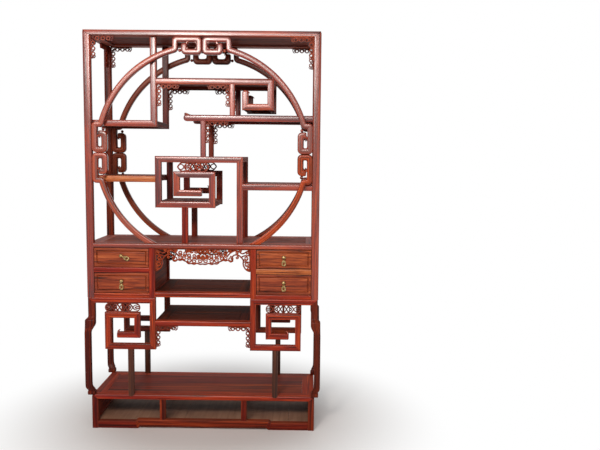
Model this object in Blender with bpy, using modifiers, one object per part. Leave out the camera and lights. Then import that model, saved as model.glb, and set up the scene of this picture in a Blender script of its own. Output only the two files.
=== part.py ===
"""Chinese curio shelf: a rosewood display shelf with a moon ring, scrolled shelves and four drawers.

Metres, +Z up, the front faces -Y, and the origin is on the floor under the middle of the shelf.
"""

import math

import bmesh
import bpy
from mathutils import Matrix, Vector

# Clearance between touching pieces, and overlap where shapes are joined into one solid
FIT = 0.0003
LAP = 0.004

# Overall frame, and the width that the places across are given for
WIDTH = 1.160
DRAWN_WIDTH = 1.160
ACROSS = WIDTH / DRAWN_WIDTH
DEPTH = 0.390
POST = 0.034
POST_ROUND = 0.007
TOP_THICKNESS = 0.027
FRAME_RAIL = 0.064
EDGE_ROUND = 0.007
PANEL = 0.012
TONGUE = 0.008
TONGUE_THICKNESS = 0.005

# Heights of the lower half, from the floor upwards
BASE_HEIGHT = 0.177
LEG_HEIGHT = 0.502
CASE_FLOOR = 0.023
LOWER_DRAWER = 0.105
DRAWER_RAIL = 0.027
UPPER_DRAWER = 0.098
MAIN_THICKNESS = 0.025

# Moon ring in the front and back frames
MOON_RISE = 0.450
MOON_INSET = 0.026
MOON_DROP = 0.046
MOON_BAND = 0.026
MOON_DEPTH = 0.026
MOON_STEPS = 8
SCROLL_DEPTH = 0.031
SCROLL_BAR = 0.027
SCROLL_SLOT = 0.014
SCROLL_CORNER = 0.011
TOP_SCROLL_LENGTH = 0.292
TOP_SCROLL_HEIGHT = 0.088
SIDE_SCROLL_LENGTH = 0.304
SIDE_SCROLL_HEIGHT = 0.076
BEAD = 0.0085

# Shelves between the two moon frames: rises of their top faces above the main shelf
RAIL = 0.027
SIDE_INSET = 0.004
BOX_RISE = 0.609
UPPER_RISE = 0.817
ALTAR_RISE = 0.638
SPIRAL_RISE = 0.433
LEFT_RISE = 0.333
RIGHT_RISE = 0.297

# Places across of the upright members, from the middle
HANGING_X = -0.232 * ACROSS
HOOK_RIGHT = 0.348 * ACROSS
HOOK_LEFT = 0.196 * ACROSS
HOOK_DROP = 0.150
HOOK_TIP_DROP = 0.054
UPPER_DIVIDER_X = 0.145 * ACROSS
LOWER_DIVIDER_X = -0.001 * ACROSS
DIVIDER = 0.022
ALTAR_END_X = -0.097 * ACROSS
SPIRAL_LEFT = -0.240 * ACROSS
SPIRAL_RIGHT = 0.196 * ACROSS
SPIRAL_DROP = 0.254
SPIRAL_TURN_X = 0.057 * ACROSS
SPIRAL_TURN_RISE = 0.178
SPIRAL_INNER_X = -0.148 * ACROSS
SPIRAL_INNER_RISE = 0.058
SPIRAL_END_X = -0.008 * ACROSS
SPIRAL_POST_X = -0.0945 * ACROSS
SPIRAL_POST = 0.025
TIP_RISE = 0.030

# Lower half across: drawer stiles, hanging frets and their posts
STILE_X = 0.240 * ACROSS
STILE = 0.029
FRET_DEPTH = 0.027
FRET_DROP = 0.264
FRET_OUTER_X = 0.495 * ACROSS
FRET_CARVING = 0.049
FRET_INNER_X = 0.319 * ACROSS
FRET_INNER_RISE = 0.059
FRET_END_X = 0.435 * ACROSS
FRET_POST_X = 0.3665 * ACROSS
FRET_POST = 0.028
CENTRE_UPPER_RISE = 0.032
CENTRE_LOWER_DROP = 0.115
CENTRE_SHELF = 0.028

# Curved legs: how far they swell outwards, and the heights of their turns above the base
LEG_SWELL = 0.015
LEG_SLIM = 0.004
SHOULDER_RISE = 0.403
INNER_SHOULDER_RISE = 0.371
ANKLE_RISE = 0.050
PAD = 0.020
PAD_OUT = 0.008
PAD_IN = 0.031

# Base
BASE_INSET = 0.012
BASE_TOP_THICKNESS = 0.024
BASE_STILE = 0.0315
BASE_WALL = 0.020
BASE_FACE = 0.030
BASE_DIVIDER_X = 0.208 * ACROSS
BASE_DIVIDER = 0.028
BASE_RAIL = 0.038
HUMP = 0.009
HUMP_X = 0.336 * ACROSS
HUMP_SLOPE = 0.012
BOARD_UNDER = 0.024
BOARD = 0.012
LEDGE = 0.012

# Carved work
CARVING_DEPTH = 0.012
BRACKET_REACH = 0.116
BRACKET_DROP = 0.112
BRACKET_BAND = 0.025
BRACKET_LOOPS = 3
SPACER_LENGTH = 0.156
FRET_SPACER_LENGTH = 0.176
APRON_DROP = 0.117

# Drawers and their pulls
DRAWER_PLAY = 0.0012
DRAWER_RECESS = 0.004
DRAWER_FRONT = 0.018
DRAWER_WALL = 0.009
DRAWER_FLOOR = 0.007
DRAWER_BACK_ROOM = 0.006
BORDER = 0.011
BEAD_STEP = 0.003
KNOB_RISE = 0.010
KNOB_DROP = 0.015
PIN_OUT = 0.006
PIN_RADIUS = 0.002
PIN_HALF = 0.0065
PIN_PLAY = 0.0003
BARREL_RADIUS = 0.0038
DROP_WIDTH = 0.022
DROP_LENGTH = 0.029
DROP_THICKNESS = 0.003
UPPER_LEFT_TURN = math.radians(65)

# Tenons
TENON = 0.012
TENON_REACH = 0.010

# Places that follow from the sizes above
HALF_W = WIDTH / 2
HALF_D = DEPTH / 2
INNER_X = HALF_W - POST
INNER_Y = HALF_D - POST
SHELF_Y = INNER_Y - FIT
SIDE_X = HALF_W - SIDE_INSET
LEG_TOP = BASE_HEIGHT + LEG_HEIGHT
LOWER_FLOOR = LEG_TOP + CASE_FLOOR
MIDDLE_RAIL = LOWER_FLOOR + LOWER_DRAWER
UPPER_FLOOR = MIDDLE_RAIL + DRAWER_RAIL
CASE_TOP = UPPER_FLOOR + UPPER_DRAWER
MAIN_TOP = CASE_TOP + MAIN_THICKNESS
MOON_RADIUS = INNER_X - MOON_INSET
MOON_Z = MAIN_TOP + MOON_RISE
TOP_UNDER = MOON_Z + MOON_RADIUS + MOON_DROP
HEIGHT = TOP_UNDER + TOP_THICKNESS
BOX_TOP = MAIN_TOP + BOX_RISE
UPPER_TOP = MAIN_TOP + UPPER_RISE
ALTAR_TOP = MAIN_TOP + ALTAR_RISE
SPIRAL_TOP = MAIN_TOP + SPIRAL_RISE
SPIRAL_UNDER = SPIRAL_TOP - SPIRAL_DROP
LEFT_TOP = MAIN_TOP + LEFT_RISE
RIGHT_TOP = MAIN_TOP + RIGHT_RISE
FRET_UNDER = LEG_TOP - FRET_DROP
CENTRE_UPPER_TOP = LEG_TOP + CENTRE_UPPER_RISE
CENTRE_LOWER_TOP = LEG_TOP - CENTRE_LOWER_DROP
BASE_HALF_W = HALF_W - BASE_INSET
BASE_UNDER = BASE_HEIGHT - BASE_TOP_THICKNESS

SIDES = {"left": -1, "right": 1}
FACES = {"front": -1, "back": 1}


for old in list(bpy.data.objects):
    bpy.data.objects.remove(old)

SHELF = bpy.data.collections.new("chinese_curio_shelf")
CUTTERS = bpy.data.collections.new("cutters")
bpy.context.scene.collection.children.link(SHELF)
bpy.context.scene.collection.children.link(CUTTERS)
NODES = {}
TENONS = {}
MORTISES = {}


def make_material(name, colour, roughness, metallic):
    material = bpy.data.materials.new(name)
    material.use_nodes = True
    shader = material.node_tree.nodes["Principled BSDF"]
    shader.inputs["Base Color"].default_value = (*colour, 1.0)
    shader.inputs["Roughness"].default_value = roughness
    shader.inputs["Metallic"].default_value = metallic
    return material


ROSEWOOD = make_material("rosewood", (0.26, 0.055, 0.026), 0.35, 0.0)
ROSEWOOD_PANEL = make_material("rosewood_panel", (0.20, 0.045, 0.022), 0.42, 0.0)
ROSEWOOD_CARVED = make_material("rosewood_carved", (0.23, 0.050, 0.026), 0.40, 0.0)
RAW_BOARD = make_material("raw_board", (0.55, 0.36, 0.20), 0.75, 0.0)
BRASS = make_material("brass", (0.78, 0.56, 0.22), 0.30, 1.0)


def mesh_object(name, mesh, material):
    """A node when it has a material, otherwise a helper that only cuts or joins."""
    obj = bpy.data.objects.new(name, mesh)
    if material:
        mesh.materials.clear()
        mesh.materials.append(material)
        SHELF.objects.link(obj)
        NODES[name] = obj
    else:
        CUTTERS.objects.link(obj)
        obj.hide_render = True
        obj.display_type = "WIRE"
    return obj


def blocks(name, boxes, material=None):
    """Boxes, each given by its spans along X, Y and Z, as one mesh."""
    mesh = bpy.data.meshes.new(name)
    shape = bmesh.new()
    for spans in boxes:
        centre = Vector([(a + b) / 2 for a, b in spans])
        size = Vector([abs(b - a) for a, b in spans])
        place = Matrix.Translation(centre) @ Matrix.Diagonal(size).to_4x4()
        bmesh.ops.create_cube(shape, size=1.0, matrix=place)
    shape.to_mesh(mesh)
    shape.free()
    return mesh_object(name, mesh, material)


def block(name, x, y, z, material=None):
    return blocks(name, [(x, y, z)], material)


AXES = {
    "X": Matrix(((0, 0, 1, 0), (1, 0, 0, 0), (0, 1, 0, 0), (0, 0, 0, 1))),
    "Y": Matrix(((1, 0, 0, 0), (0, 0, -1, 0), (0, 1, 0, 0), (0, 0, 0, 1))),
    "Z": Matrix.Identity(4),
}


def prism(name, loops, axis, span, material=None):
    """A flat outline with its holes, extruded along an axis over a span."""
    low, high = min(span), max(span)
    curve = bpy.data.curves.new(name, "CURVE")
    curve.dimensions = "2D"
    curve.fill_mode = "BOTH"
    curve.extrude = (high - low) / 2
    for loop in loops:
        spline = curve.splines.new("POLY")
        spline.points.add(len(loop) - 1)
        for point, (u, v) in zip(spline.points, loop):
            point.co = (u, v, 0.0, 1.0)
        spline.use_cyclic_u = True
    outline = bpy.data.objects.new(name + "_outline", curve)
    CUTTERS.objects.link(outline)
    bpy.context.view_layer.update()
    graph = bpy.context.evaluated_depsgraph_get()
    mesh = bpy.data.meshes.new_from_object(outline.evaluated_get(graph))
    bpy.data.objects.remove(outline)
    shift = Vector((0, 0, 0))
    shift["XYZ".index(axis)] = (low + high) / 2
    shape = bmesh.new()
    shape.from_mesh(mesh)
    bmesh.ops.remove_doubles(shape, verts=shape.verts, dist=1e-6)
    bmesh.ops.dissolve_limit(shape, angle_limit=0.001, verts=shape.verts, edges=shape.edges)
    bmesh.ops.transform(shape, matrix=Matrix.Translation(shift) @ AXES[axis], verts=shape.verts)
    bmesh.ops.recalc_face_normals(shape, faces=shape.faces)
    shape.to_mesh(mesh)
    shape.free()
    return mesh_object(name, mesh, material)


def soften(obj, width, segments, chosen):
    """A bevel on the sharp edges whose two ends both pass the test."""
    shape = bmesh.new()
    shape.from_mesh(obj.data)
    weight = shape.edges.layers.float.new("bevel_weight_edge")
    for edge in shape.edges:
        if edge.calc_face_angle(0.0) > 0.4 and chosen(edge.verts[0].co, edge.verts[1].co):
            edge[weight] = 1.0
    shape.to_mesh(obj.data)
    shape.free()
    bevel = obj.modifiers.new("Bevel", "BEVEL")
    bevel.limit_method = "WEIGHT"
    bevel.width = width
    bevel.segments = segments
    bevel.profile = 0.5


def on_faces(axis, places):
    """A test for edges that lie in one of the planes across an axis."""
    index = "XYZ".index(axis)

    def chosen(a, b):
        return any(abs(a[index] - p) < 1e-5 and abs(b[index] - p) < 1e-5 for p in places)

    return chosen


def combine(obj, other, operation):
    modifier = obj.modifiers.new(operation.title(), "BOOLEAN")
    modifier.operation = operation
    modifier.solver = "EXACT"
    modifier.object = other


def cut(obj, *boxes):
    combine(obj, blocks(obj.name + "_cut", boxes), "DIFFERENCE")


def tenon(owner, host, x, y, z):
    """A box that grows out of its owner into a mortise of the host."""
    grown = [(min(s) - FIT, max(s) + FIT) for s in (x, y, z)]
    TENONS.setdefault(owner, []).append((x, y, z))
    MORTISES.setdefault(host, []).append(grown)


def around(centre, size=TENON):
    return (centre - size / 2, centre + size / 2)


def rounded(u, v, radius, steps=2):
    """A rounded rectangle between two spans."""
    (u0, u1), (v0, v1) = sorted(u), sorted(v)
    corners = ((u1, v1, 0), (u0, v1, 90), (u0, v0, 180), (u1, v0, 270))
    points = []
    for cu, cv, start in corners:
        cu += -radius if start in (0, 270) else radius
        cv += -radius if start in (0, 90) else radius
        for i in range(steps + 1):
            angle = math.radians(start + 90 * i / steps)
            points.append((cu + radius * math.cos(angle), cv + radius * math.sin(angle)))
    return points


def ribbon(path, width, round_end=True):
    """The outline of a band of one width along a path with square corners."""
    path = [Vector(p) for p in path]
    half = width / 2
    left, right = [], []
    for i, place in enumerate(path):
        before = (place - path[i - 1]).normalized() if i else None
        after = (path[i + 1] - place).normalized() if i + 1 < len(path) else None
        first = before or after
        second = after or before
        normal = Vector((-first.y, first.x)) + Vector((-second.y, second.x))
        mitre = normal * (2 * half / normal.length_squared)
        left.append(place + mitre)
        right.append(place - mitre)
    tip = []
    if round_end:
        along = (path[-1] - path[-2]).normalized()
        across = Vector((-along.y, along.x))
        for i in range(1, 4):
            angle = math.pi * i / 4
            tip.append(path[-1] + half * (across * math.cos(angle) + along * math.sin(angle)))
    return [tuple(p) for p in left + tip + right[::-1]]


# Framed tops: a mitred frame with a floating panel held by its tongue


def framed(frame_name, panel_name, half_w, z, panel_sink):
    low, high = z
    frame = block(frame_name, (-half_w, half_w), (-HALF_D, HALF_D), z, ROSEWOOD)
    outer_x = on_faces("X", (-half_w, half_w))
    outer_y = on_faces("Y", (-HALF_D, HALF_D))
    level = on_faces("Z", z)
    soften(frame, EDGE_ROUND, 2, lambda a, b: level(a, b) and (outer_x(a, b) or outer_y(a, b)))
    open_x = half_w - FRAME_RAIL
    open_y = HALF_D - FRAME_RAIL
    cut(frame, ((-open_x, open_x), (-open_y, open_y), (low - LAP, high + LAP)))
    panel_top = high - panel_sink
    middle = panel_top - PANEL / 2
    groove_x = open_x + TONGUE + 0.001
    groove_y = open_y + TONGUE + 0.001
    groove_z = around(middle, TONGUE_THICKNESS + 2 * FIT)
    cut(frame, ((-groove_x, groove_x), (-groove_y, groove_y), groove_z))
    fit_x = open_x - FIT
    fit_y = open_y - FIT
    panel_z = (panel_top - PANEL, panel_top)
    panel = block(panel_name, (-fit_x, fit_x), (-fit_y, fit_y), panel_z, ROSEWOOD_PANEL)
    tongue_x = open_x + TONGUE
    tongue_y = open_y + TONGUE
    tongue_z = around(middle, TONGUE_THICKNESS)
    tongue = block(
        panel_name + "_tongue", (-tongue_x, tongue_x), (-tongue_y, tongue_y), tongue_z
    )
    combine(panel, tongue, "UNION")
    return frame


top_frame = framed("top_frame", "top_panel", HALF_W, (TOP_UNDER, HEIGHT), 0.006)
main_frame = framed("main_shelf_frame", "main_shelf_panel", HALF_W, (CASE_TOP, MAIN_TOP), 0.0)
framed("base_top_frame", "base_top_panel", BASE_HALF_W, (BASE_UNDER, BASE_HEIGHT), 0.0)
notch = LAP + POST + FIT
cut(
    main_frame,
    *[
        (
            (sx * (INNER_X - FIT), sx * (INNER_X + notch)),
            (sy * (INNER_Y - FIT), sy * (INNER_Y + notch)),
            (CASE_TOP - LAP, MAIN_TOP + LAP),
        )
        for sx in (-1, 1)
        for sy in (-1, 1)
    ],
)


# Corner posts and curved legs

LEG_SIDE = [
    (0.0, LEG_TOP - FIT),
    (0.0, BASE_HEIGHT + SHOULDER_RISE),
    (LEG_SWELL - 0.001, BASE_HEIGHT + SHOULDER_RISE - 0.016),
    (LEG_SWELL + 0.001, BASE_HEIGHT + SHOULDER_RISE / 2),
    (LEG_SWELL + 0.001, BASE_HEIGHT + ANKLE_RISE),
    (LEG_SWELL - 0.003, BASE_HEIGHT + PAD + 0.014),
    (PAD_OUT - 0.003, BASE_HEIGHT + PAD + 0.003),
    (PAD_OUT - 0.002, BASE_HEIGHT + PAD),
    (PAD_OUT, BASE_HEIGHT + PAD - 0.003),
    (PAD_OUT, BASE_HEIGHT + FIT),
    (-PAD_IN, BASE_HEIGHT + FIT),
    (-PAD_IN, BASE_HEIGHT + PAD - 0.003),
    (2 * LEG_SLIM - POST, BASE_HEIGHT + PAD + 0.001),
    (2 * LEG_SLIM - POST, BASE_HEIGHT + PAD + 0.010),
    (LEG_SWELL + LEG_SLIM - POST - 0.003, BASE_HEIGHT + ANKLE_RISE - 0.004),
    (LEG_SWELL + LEG_SLIM - POST, BASE_HEIGHT + ANKLE_RISE + 0.012),
    (LEG_SWELL + LEG_SLIM - POST, BASE_HEIGHT + INNER_SHOULDER_RISE - 0.038),
    (-POST, BASE_HEIGHT + INNER_SHOULDER_RISE),
    (-POST, LEG_TOP - FIT),
]


def corner(side_name, face_name):
    side, face = SIDES[side_name], FACES[face_name]
    place = f"{face_name}_{side_name}"
    middle_x = side * (HALF_W - POST / 2)
    middle_y = face * (HALF_D - POST / 2)
    section = rounded(around(middle_x, POST), around(middle_y, POST), POST_ROUND)
    post_z = (LEG_TOP + FIT, TOP_UNDER - FIT)
    prism(f"corner_post_{place}", [section], "Z", post_z, ROSEWOOD)
    across = [(side * (HALF_W + out), z) for out, z in LEG_SIDE]
    along = [(face * (HALF_D + out), z) for out, z in LEG_SIDE]
    wide_y = (face * (HALF_D - POST - 0.05), face * (HALF_D + 0.05))
    wide_x = (side * (HALF_W - POST - 0.05), side * (HALF_W + 0.05))
    leg = prism(f"curved_leg_{place}", [across], "Y", wide_y, ROSEWOOD)
    combine(leg, prism(f"curved_leg_{place}_side", [along], "X", wide_x), "INTERSECT")
    tenon_xy = around(middle_x), around(middle_y)
    tenon(f"corner_post_{place}", "top_frame", *tenon_xy, (TOP_UNDER - LAP, TOP_UNDER + 0.014))
    tenon(f"corner_post_{place}", leg.name, *tenon_xy, (LEG_TOP - 0.014, LEG_TOP + LAP))
    foot_x = around(side * (BASE_HALF_W - 0.011))
    foot_y = around(face * (HALF_D - 0.014))
    tenon(leg.name, "base_top_frame", foot_x, foot_y, (BASE_HEIGHT - 0.014, BASE_HEIGHT + LAP))


for side_name in SIDES:
    for face_name in FACES:
        corner(side_name, face_name)

for side in SIDES.values():
    for face_name, face in FACES.items():
        side_name = "left" if side < 0 else "right"
        reach = (side * (INNER_X - FIT - LAP), side * (INNER_X + TENON_REACH))
        middle_y = around(face * (HALF_D - POST / 2))
        tenon(
            "main_shelf_frame",
            f"corner_post_{face_name}_{side_name}",
            reach,
            middle_y,
            around((CASE_TOP + MAIN_TOP) / 2),
        )


# Carved outlines, each in its own flat frame


def bracket_loops(turn):
    """A corner bracket of linked loops. turn maps its own reach and drop to the flat plane."""
    reach, drop, band = BRACKET_REACH, BRACKET_DROP, BRACKET_BAND
    across = (reach - band) / BRACKET_LOOPS
    down = (drop - band) / BRACKET_LOOPS
    edge = [(0, 0), (reach, 0)]
    for i in range(BRACKET_LOOPS):
        far = reach - across * i
        edge += [(far - 0.002, band * 0.66), (far - across / 2, band)]
    edge += [(band, band)]
    for i in range(BRACKET_LOOPS):
        near = band + down * i
        edge += [(band, near + down / 2), (band * 0.66, near + down - 0.002)]
    edge += [(0, drop)]
    holes = []
    for i in range(BRACKET_LOOPS):
        u = reach - across * (i + 0.5)
        w = band + down * (i + 0.5)
        half = band * 0.24
        middle = band * 0.54
        holes.append([(u - half, middle), (u, middle - half), (u + half, middle), (u, middle + half)])
        holes.append([(middle - half, w), (middle, w - half), (middle + half, w), (middle, w + half)])
    return [[turn(*p) for p in loop] for loop in [edge] + holes]


def add_bracket(node, corner_u, corner_v, to_u, axis, middle):
    """Joins a bracket to the piece above it. It overlaps that piece, and stops short of the post."""

    def turn(u, v):
        return (corner_u + to_u * (u + FIT), corner_v + LAP / 2 - v)

    name = f"{node.name}_bracket_{len(node.modifiers)}"
    combine(node, prism(name, bracket_loops(turn), axis, around(middle, CARVING_DEPTH)), "UNION")


def spacer_loops(length, height, u, v):
    """A pierced spacer: a long medallion with crossed bands, centred at u and v."""
    half, high = length / 2, height / 2 + LAP / 2
    edge = [
        (half * 0.84, high),
        (half * 0.98, high * 0.45),
        (half * 0.98, -high * 0.45),
        (half * 0.84, -high),
    ]
    edge += [(-a, b) for a, b in reversed(edge)]
    holes = []
    for s in (-1, 1):
        holes.append([(s * half * 0.86, 0.0), (s * half * 0.70, high * 0.5), (s * half * 0.58, 0.0)])
        holes[-1].append((s * half * 0.70, -high * 0.5))
        for t in (-1, 1):
            holes.append([(s * half * 0.08, t * high * 0.62), (s * half * 0.50, t * high * 0.62)])
            holes[-1].append((s * half * 0.29, t * high * 0.16))
    return [[(u + a, v + b) for a, b in loop] for loop in [edge] + holes]


# Moon rings


def scroll_loops(length, height, turn):
    """Two mirrored square scrolls. Their own axes run along the frame and away from it."""
    half = length / 2
    bar, round_, slot = SCROLL_BAR, SCROLL_CORNER, SCROLL_SLOT
    near, far = half - bar - slot, half - bar
    dip = round_ * 0.7
    side = [
        (0.0, dip),
        (dip, FIT),
        (half - round_, FIT),
        (half - round_ * 0.3, round_ * 0.3),
        (half, round_),
        (half, height - round_),
        (half - round_ * 0.5, height - round_ * 0.1),
        (far + 0.004, height),
        (far, height - 0.006),
        (far, bar + 0.004),
        (far - 0.004, bar),
        (near + 0.004, bar),
        (near, bar + 0.004),
        (near, height - round_),
        (near - round_ * 0.3, height - round_ * 0.3),
        (near - round_, height),
        (dip, height),
        (0.0, height - dip),
    ]
    edge = side + [(-a, b) for a, b in side[-2:0:-1]]
    loops = [edge]
    for s in (-1, 1):
        inside = rounded((0.85 * bar, near - bar), (bar + round_ * 0.1, height - bar), 0.008, 1)
        loops.append([(s * a, b) for a, b in inside])
    return [[turn(*p) for p in loop] for loop in loops]


def ring_sector(start, stop):
    outer, inner = [], []
    for i in range(MOON_STEPS + 1):
        angle = math.radians(start + (stop - start) * i / MOON_STEPS)
        for points, radius in ((outer, MOON_RADIUS + MOON_BAND / 2), (inner, MOON_RADIUS - MOON_BAND / 2)):
            points.append((radius * math.cos(angle), MOON_Z + radius * math.sin(angle)))
    return outer + inner[::-1]


def moon_gate(face_name):
    face = FACES[face_name]
    name = f"moon_gate_{face_name}"
    middle_y = face * (HALF_D - POST / 2)
    scroll_y = around(middle_y, SCROLL_DEPTH)
    ring_y = around(middle_y, MOON_DEPTH)
    side_reach = SIDE_SCROLL_LENGTH / 2 - SCROLL_BAR / 2
    top_reach = TOP_SCROLL_LENGTH / 2 - SCROLL_BAR / 2
    side_angle = math.degrees(math.asin(side_reach / MOON_RADIUS))
    top_angle = 90 - math.degrees(math.asin(top_reach / MOON_RADIUS))
    foot_angle = -math.degrees(math.asin(MOON_RISE / MOON_RADIUS)) - 4

    def crest_turn(u, v):
        return (u, TOP_UNDER - v)

    crest = scroll_loops(TOP_SCROLL_LENGTH, TOP_SCROLL_HEIGHT, crest_turn)
    gate = prism(name, crest, "Y", scroll_y, ROSEWOOD)
    bead_places = []
    bead_u = TOP_SCROLL_LENGTH / 2 - SCROLL_BAR - SCROLL_SLOT / 2
    for side in (-1, 1):

        def side_turn(u, v, side=side):
            return (side * (INNER_X - v), MOON_Z + u)

        loops = scroll_loops(SIDE_SCROLL_LENGTH, SIDE_SCROLL_HEIGHT, side_turn)
        bead_places.append((side * bead_u, TOP_UNDER - TOP_SCROLL_HEIGHT + BEAD))
        side_u = SIDE_SCROLL_LENGTH / 2 - SCROLL_BAR - SCROLL_SLOT / 2
        for up in (-1, 1):
            bead_x = side * (INNER_X - SIDE_SCROLL_HEIGHT + BEAD)
            bead_places.append((bead_x, MOON_Z + up * side_u))
        for label, span in (("upper", (side_angle, top_angle)), ("lower", (foot_angle, -side_angle))):
            arc = [(side * x, z) for x, z in ring_sector(*span)]
            combine(gate, prism(f"{name}_{label}_arc_{side}", [arc], "Y", ring_y), "UNION")
        combine(gate, prism(f"{name}_scroll_{side}", loops, "Y", scroll_y), "UNION")
    for i, (x, z) in enumerate(bead_places):
        mesh = bpy.data.meshes.new(f"{name}_bead_{i}")
        shape = bmesh.new()
        place = Matrix.Translation((x, middle_y, z)) @ Matrix.Rotation(0.3, 4, "Y")
        bmesh.ops.create_icosphere(shape, subdivisions=1, radius=BEAD * 1.12, matrix=place)
        shape.to_mesh(mesh)
        shape.free()
        combine(gate, mesh_object(mesh.name, mesh, None), "UNION")
    wide = (-HALF_W, HALF_W)
    cut(gate, (wide, around(middle_y, 2 * POST), (MAIN_TOP - 0.1, MAIN_TOP + FIT)))
    tenon_y = around(middle_y, 0.010)
    foot_x = math.sqrt(MOON_RADIUS**2 - MOON_RISE**2)
    for side_name, side in SIDES.items():
        foot = around(side * (foot_x + 0.003), 0.010)
        tenon(name, "main_shelf_frame", foot, tenon_y, (MAIN_TOP - TENON_REACH, MAIN_TOP + 2 * LAP))
        reach = (side * (INNER_X - 0.010), side * (INNER_X + TENON_REACH))
        post = f"corner_post_{face_name}_{side_name}"
        tenon(name, post, reach, tenon_y, around(MOON_Z + side_reach / 2, 0.010))
        crest_x = around(side * top_reach / 2, 0.010)
        tenon(name, "top_frame", crest_x, tenon_y, (TOP_UNDER - 0.010, TOP_UNDER + TENON_REACH))


for face_name in FACES:
    moon_gate(face_name)


# Shelves between the moon rings

CLEAR_Y = (RAIL - SHELF_Y, SHELF_Y - RAIL)


def shelf_recess(x, top):
    """The hollow under a framed shelf, between its rails."""
    return (x, CLEAR_Y, (top - RAIL - LAP / 2, top - PANEL))


def side_tenons(name, side_name, top):
    side = SIDES[side_name]
    for face_name, face in FACES.items():
        reach = (face * (SHELF_Y - LAP), face * (INNER_Y + TENON_REACH))
        place = around(side * (HALF_W - POST / 2))
        tenon(name, f"corner_post_{face_name}_{side_name}", place, reach, around(top - RAIL / 2))


def butt_tenons(name, host, x, side, top, inner=SHELF_Y - RAIL / 2, thickness=RAIL):
    """Two tenons through the end of a shelf into the front and back uprights beside it."""
    for face in FACES.values():
        reach = (x - side * LAP, x + side * (TENON_REACH + FIT))
        tenon(name, host, reach, around(face * inner), around(top - thickness / 2))


def upright(name, x, width, face, z):
    middle_y = face * (SHELF_Y - RAIL / 2)
    section = rounded(around(x, width), around(middle_y, RAIL), 0.006)
    return prism(name, [section], "Z", (z[0] + FIT, z[1] - FIT), ROSEWOOD)


def end_tenons(name, x, face, below, above, z):
    middle_y = around(face * (SHELF_Y - RAIL / 2))
    tenon(name, below, around(x), middle_y, (z[0] - TENON_REACH, z[0] + LAP))
    tenon(name, above, around(x), middle_y, (z[1] - LAP, z[1] + TENON_REACH))


shelf_faces = on_faces("Y", (-SHELF_Y, SHELF_Y))
shelf_span = (-SHELF_Y, SHELF_Y)
half = RAIL / 2

# Corner box: a shelf hung from the top by two posts
hanging = HANGING_X - half
box_path = [(-SIDE_X, BOX_TOP - half), (hanging, BOX_TOP - half), (hanging, TOP_UNDER - FIT)]
box = prism("corner_box", [ribbon(box_path, RAIL, False)], "Y", shelf_span, ROSEWOOD)
soften(box, EDGE_ROUND, 2, shelf_faces)
cut(
    box,
    ((HANGING_X - RAIL - LAP, HANGING_X + LAP), CLEAR_Y, (BOX_TOP, TOP_UNDER + LAP)),
    shelf_recess((-SIDE_X + RAIL, HANGING_X - RAIL), BOX_TOP),
)
side_tenons("corner_box", "left", BOX_TOP)
for face in FACES.values():
    hang_y = around(face * (SHELF_Y - half))
    tenon("corner_box", "top_frame", around(hanging), hang_y, (TOP_UNDER - LAP, TOP_UNDER + 0.014))

# Upper shelf, ending in a hanging hook
hook_under = UPPER_TOP - HOOK_DROP
hook_path = [
    (HANGING_X + FIT, UPPER_TOP - half),
    (HOOK_RIGHT - half, UPPER_TOP - half),
    (HOOK_RIGHT - half, hook_under + half),
    (HOOK_LEFT + half, hook_under + half),
    (HOOK_LEFT + half, UPPER_TOP - HOOK_TIP_DROP - half),
]
upper = prism("upper_shelf", [ribbon(hook_path, RAIL)], "Y", shelf_span, ROSEWOOD)
soften(upper, EDGE_ROUND, 2, shelf_faces)
cut(
    upper,
    ((HOOK_LEFT - LAP, HOOK_RIGHT + LAP), CLEAR_Y, (hook_under + RAIL, UPPER_TOP - RAIL)),
)
cut(
    upper,
    shelf_recess((HANGING_X + RAIL, HOOK_RIGHT - RAIL), UPPER_TOP),
    shelf_recess((HOOK_LEFT + RAIL, HOOK_RIGHT - RAIL), hook_under + RAIL),
)
bracket_y = SHELF_Y - half
for face in FACES.values():
    add_bracket(upper, HANGING_X, UPPER_TOP - RAIL, 1, "Y", face * bracket_y)
    divider_side = UPPER_DIVIDER_X - DIVIDER / 2
    add_bracket(upper, divider_side, UPPER_TOP - RAIL, -1, "Y", face * bracket_y)
butt_tenons("upper_shelf", "corner_box", HANGING_X + FIT, -1, UPPER_TOP)

# Altar shelf with an upturned end
altar_under = ALTAR_TOP - RAIL
altar_edge = [
    (SIDE_X, ALTAR_TOP),
    (ALTAR_END_X + 0.055, ALTAR_TOP),
    (ALTAR_END_X + 0.030, ALTAR_TOP + 0.004),
    (ALTAR_END_X + 0.014, ALTAR_TOP + 0.011),
    (ALTAR_END_X + 0.004, ALTAR_TOP + 0.009),
    (ALTAR_END_X, ALTAR_TOP - 0.002),
    (ALTAR_END_X + 0.004, ALTAR_TOP - 0.014),
    (ALTAR_END_X + 0.020, altar_under),
    (SIDE_X, altar_under),
]
altar = prism("altar_shelf", [altar_edge], "Y", shelf_span, ROSEWOOD)
soften(altar, EDGE_ROUND, 2, shelf_faces)
cut(altar, shelf_recess((ALTAR_END_X + 2 * RAIL, SIDE_X - RAIL), ALTAR_TOP))
for face in FACES.values():
    add_bracket(altar, LOWER_DIVIDER_X + DIVIDER / 2, altar_under, 1, "Y", face * bracket_y)
side_tenons("altar_shelf", "right", ALTAR_TOP)

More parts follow.
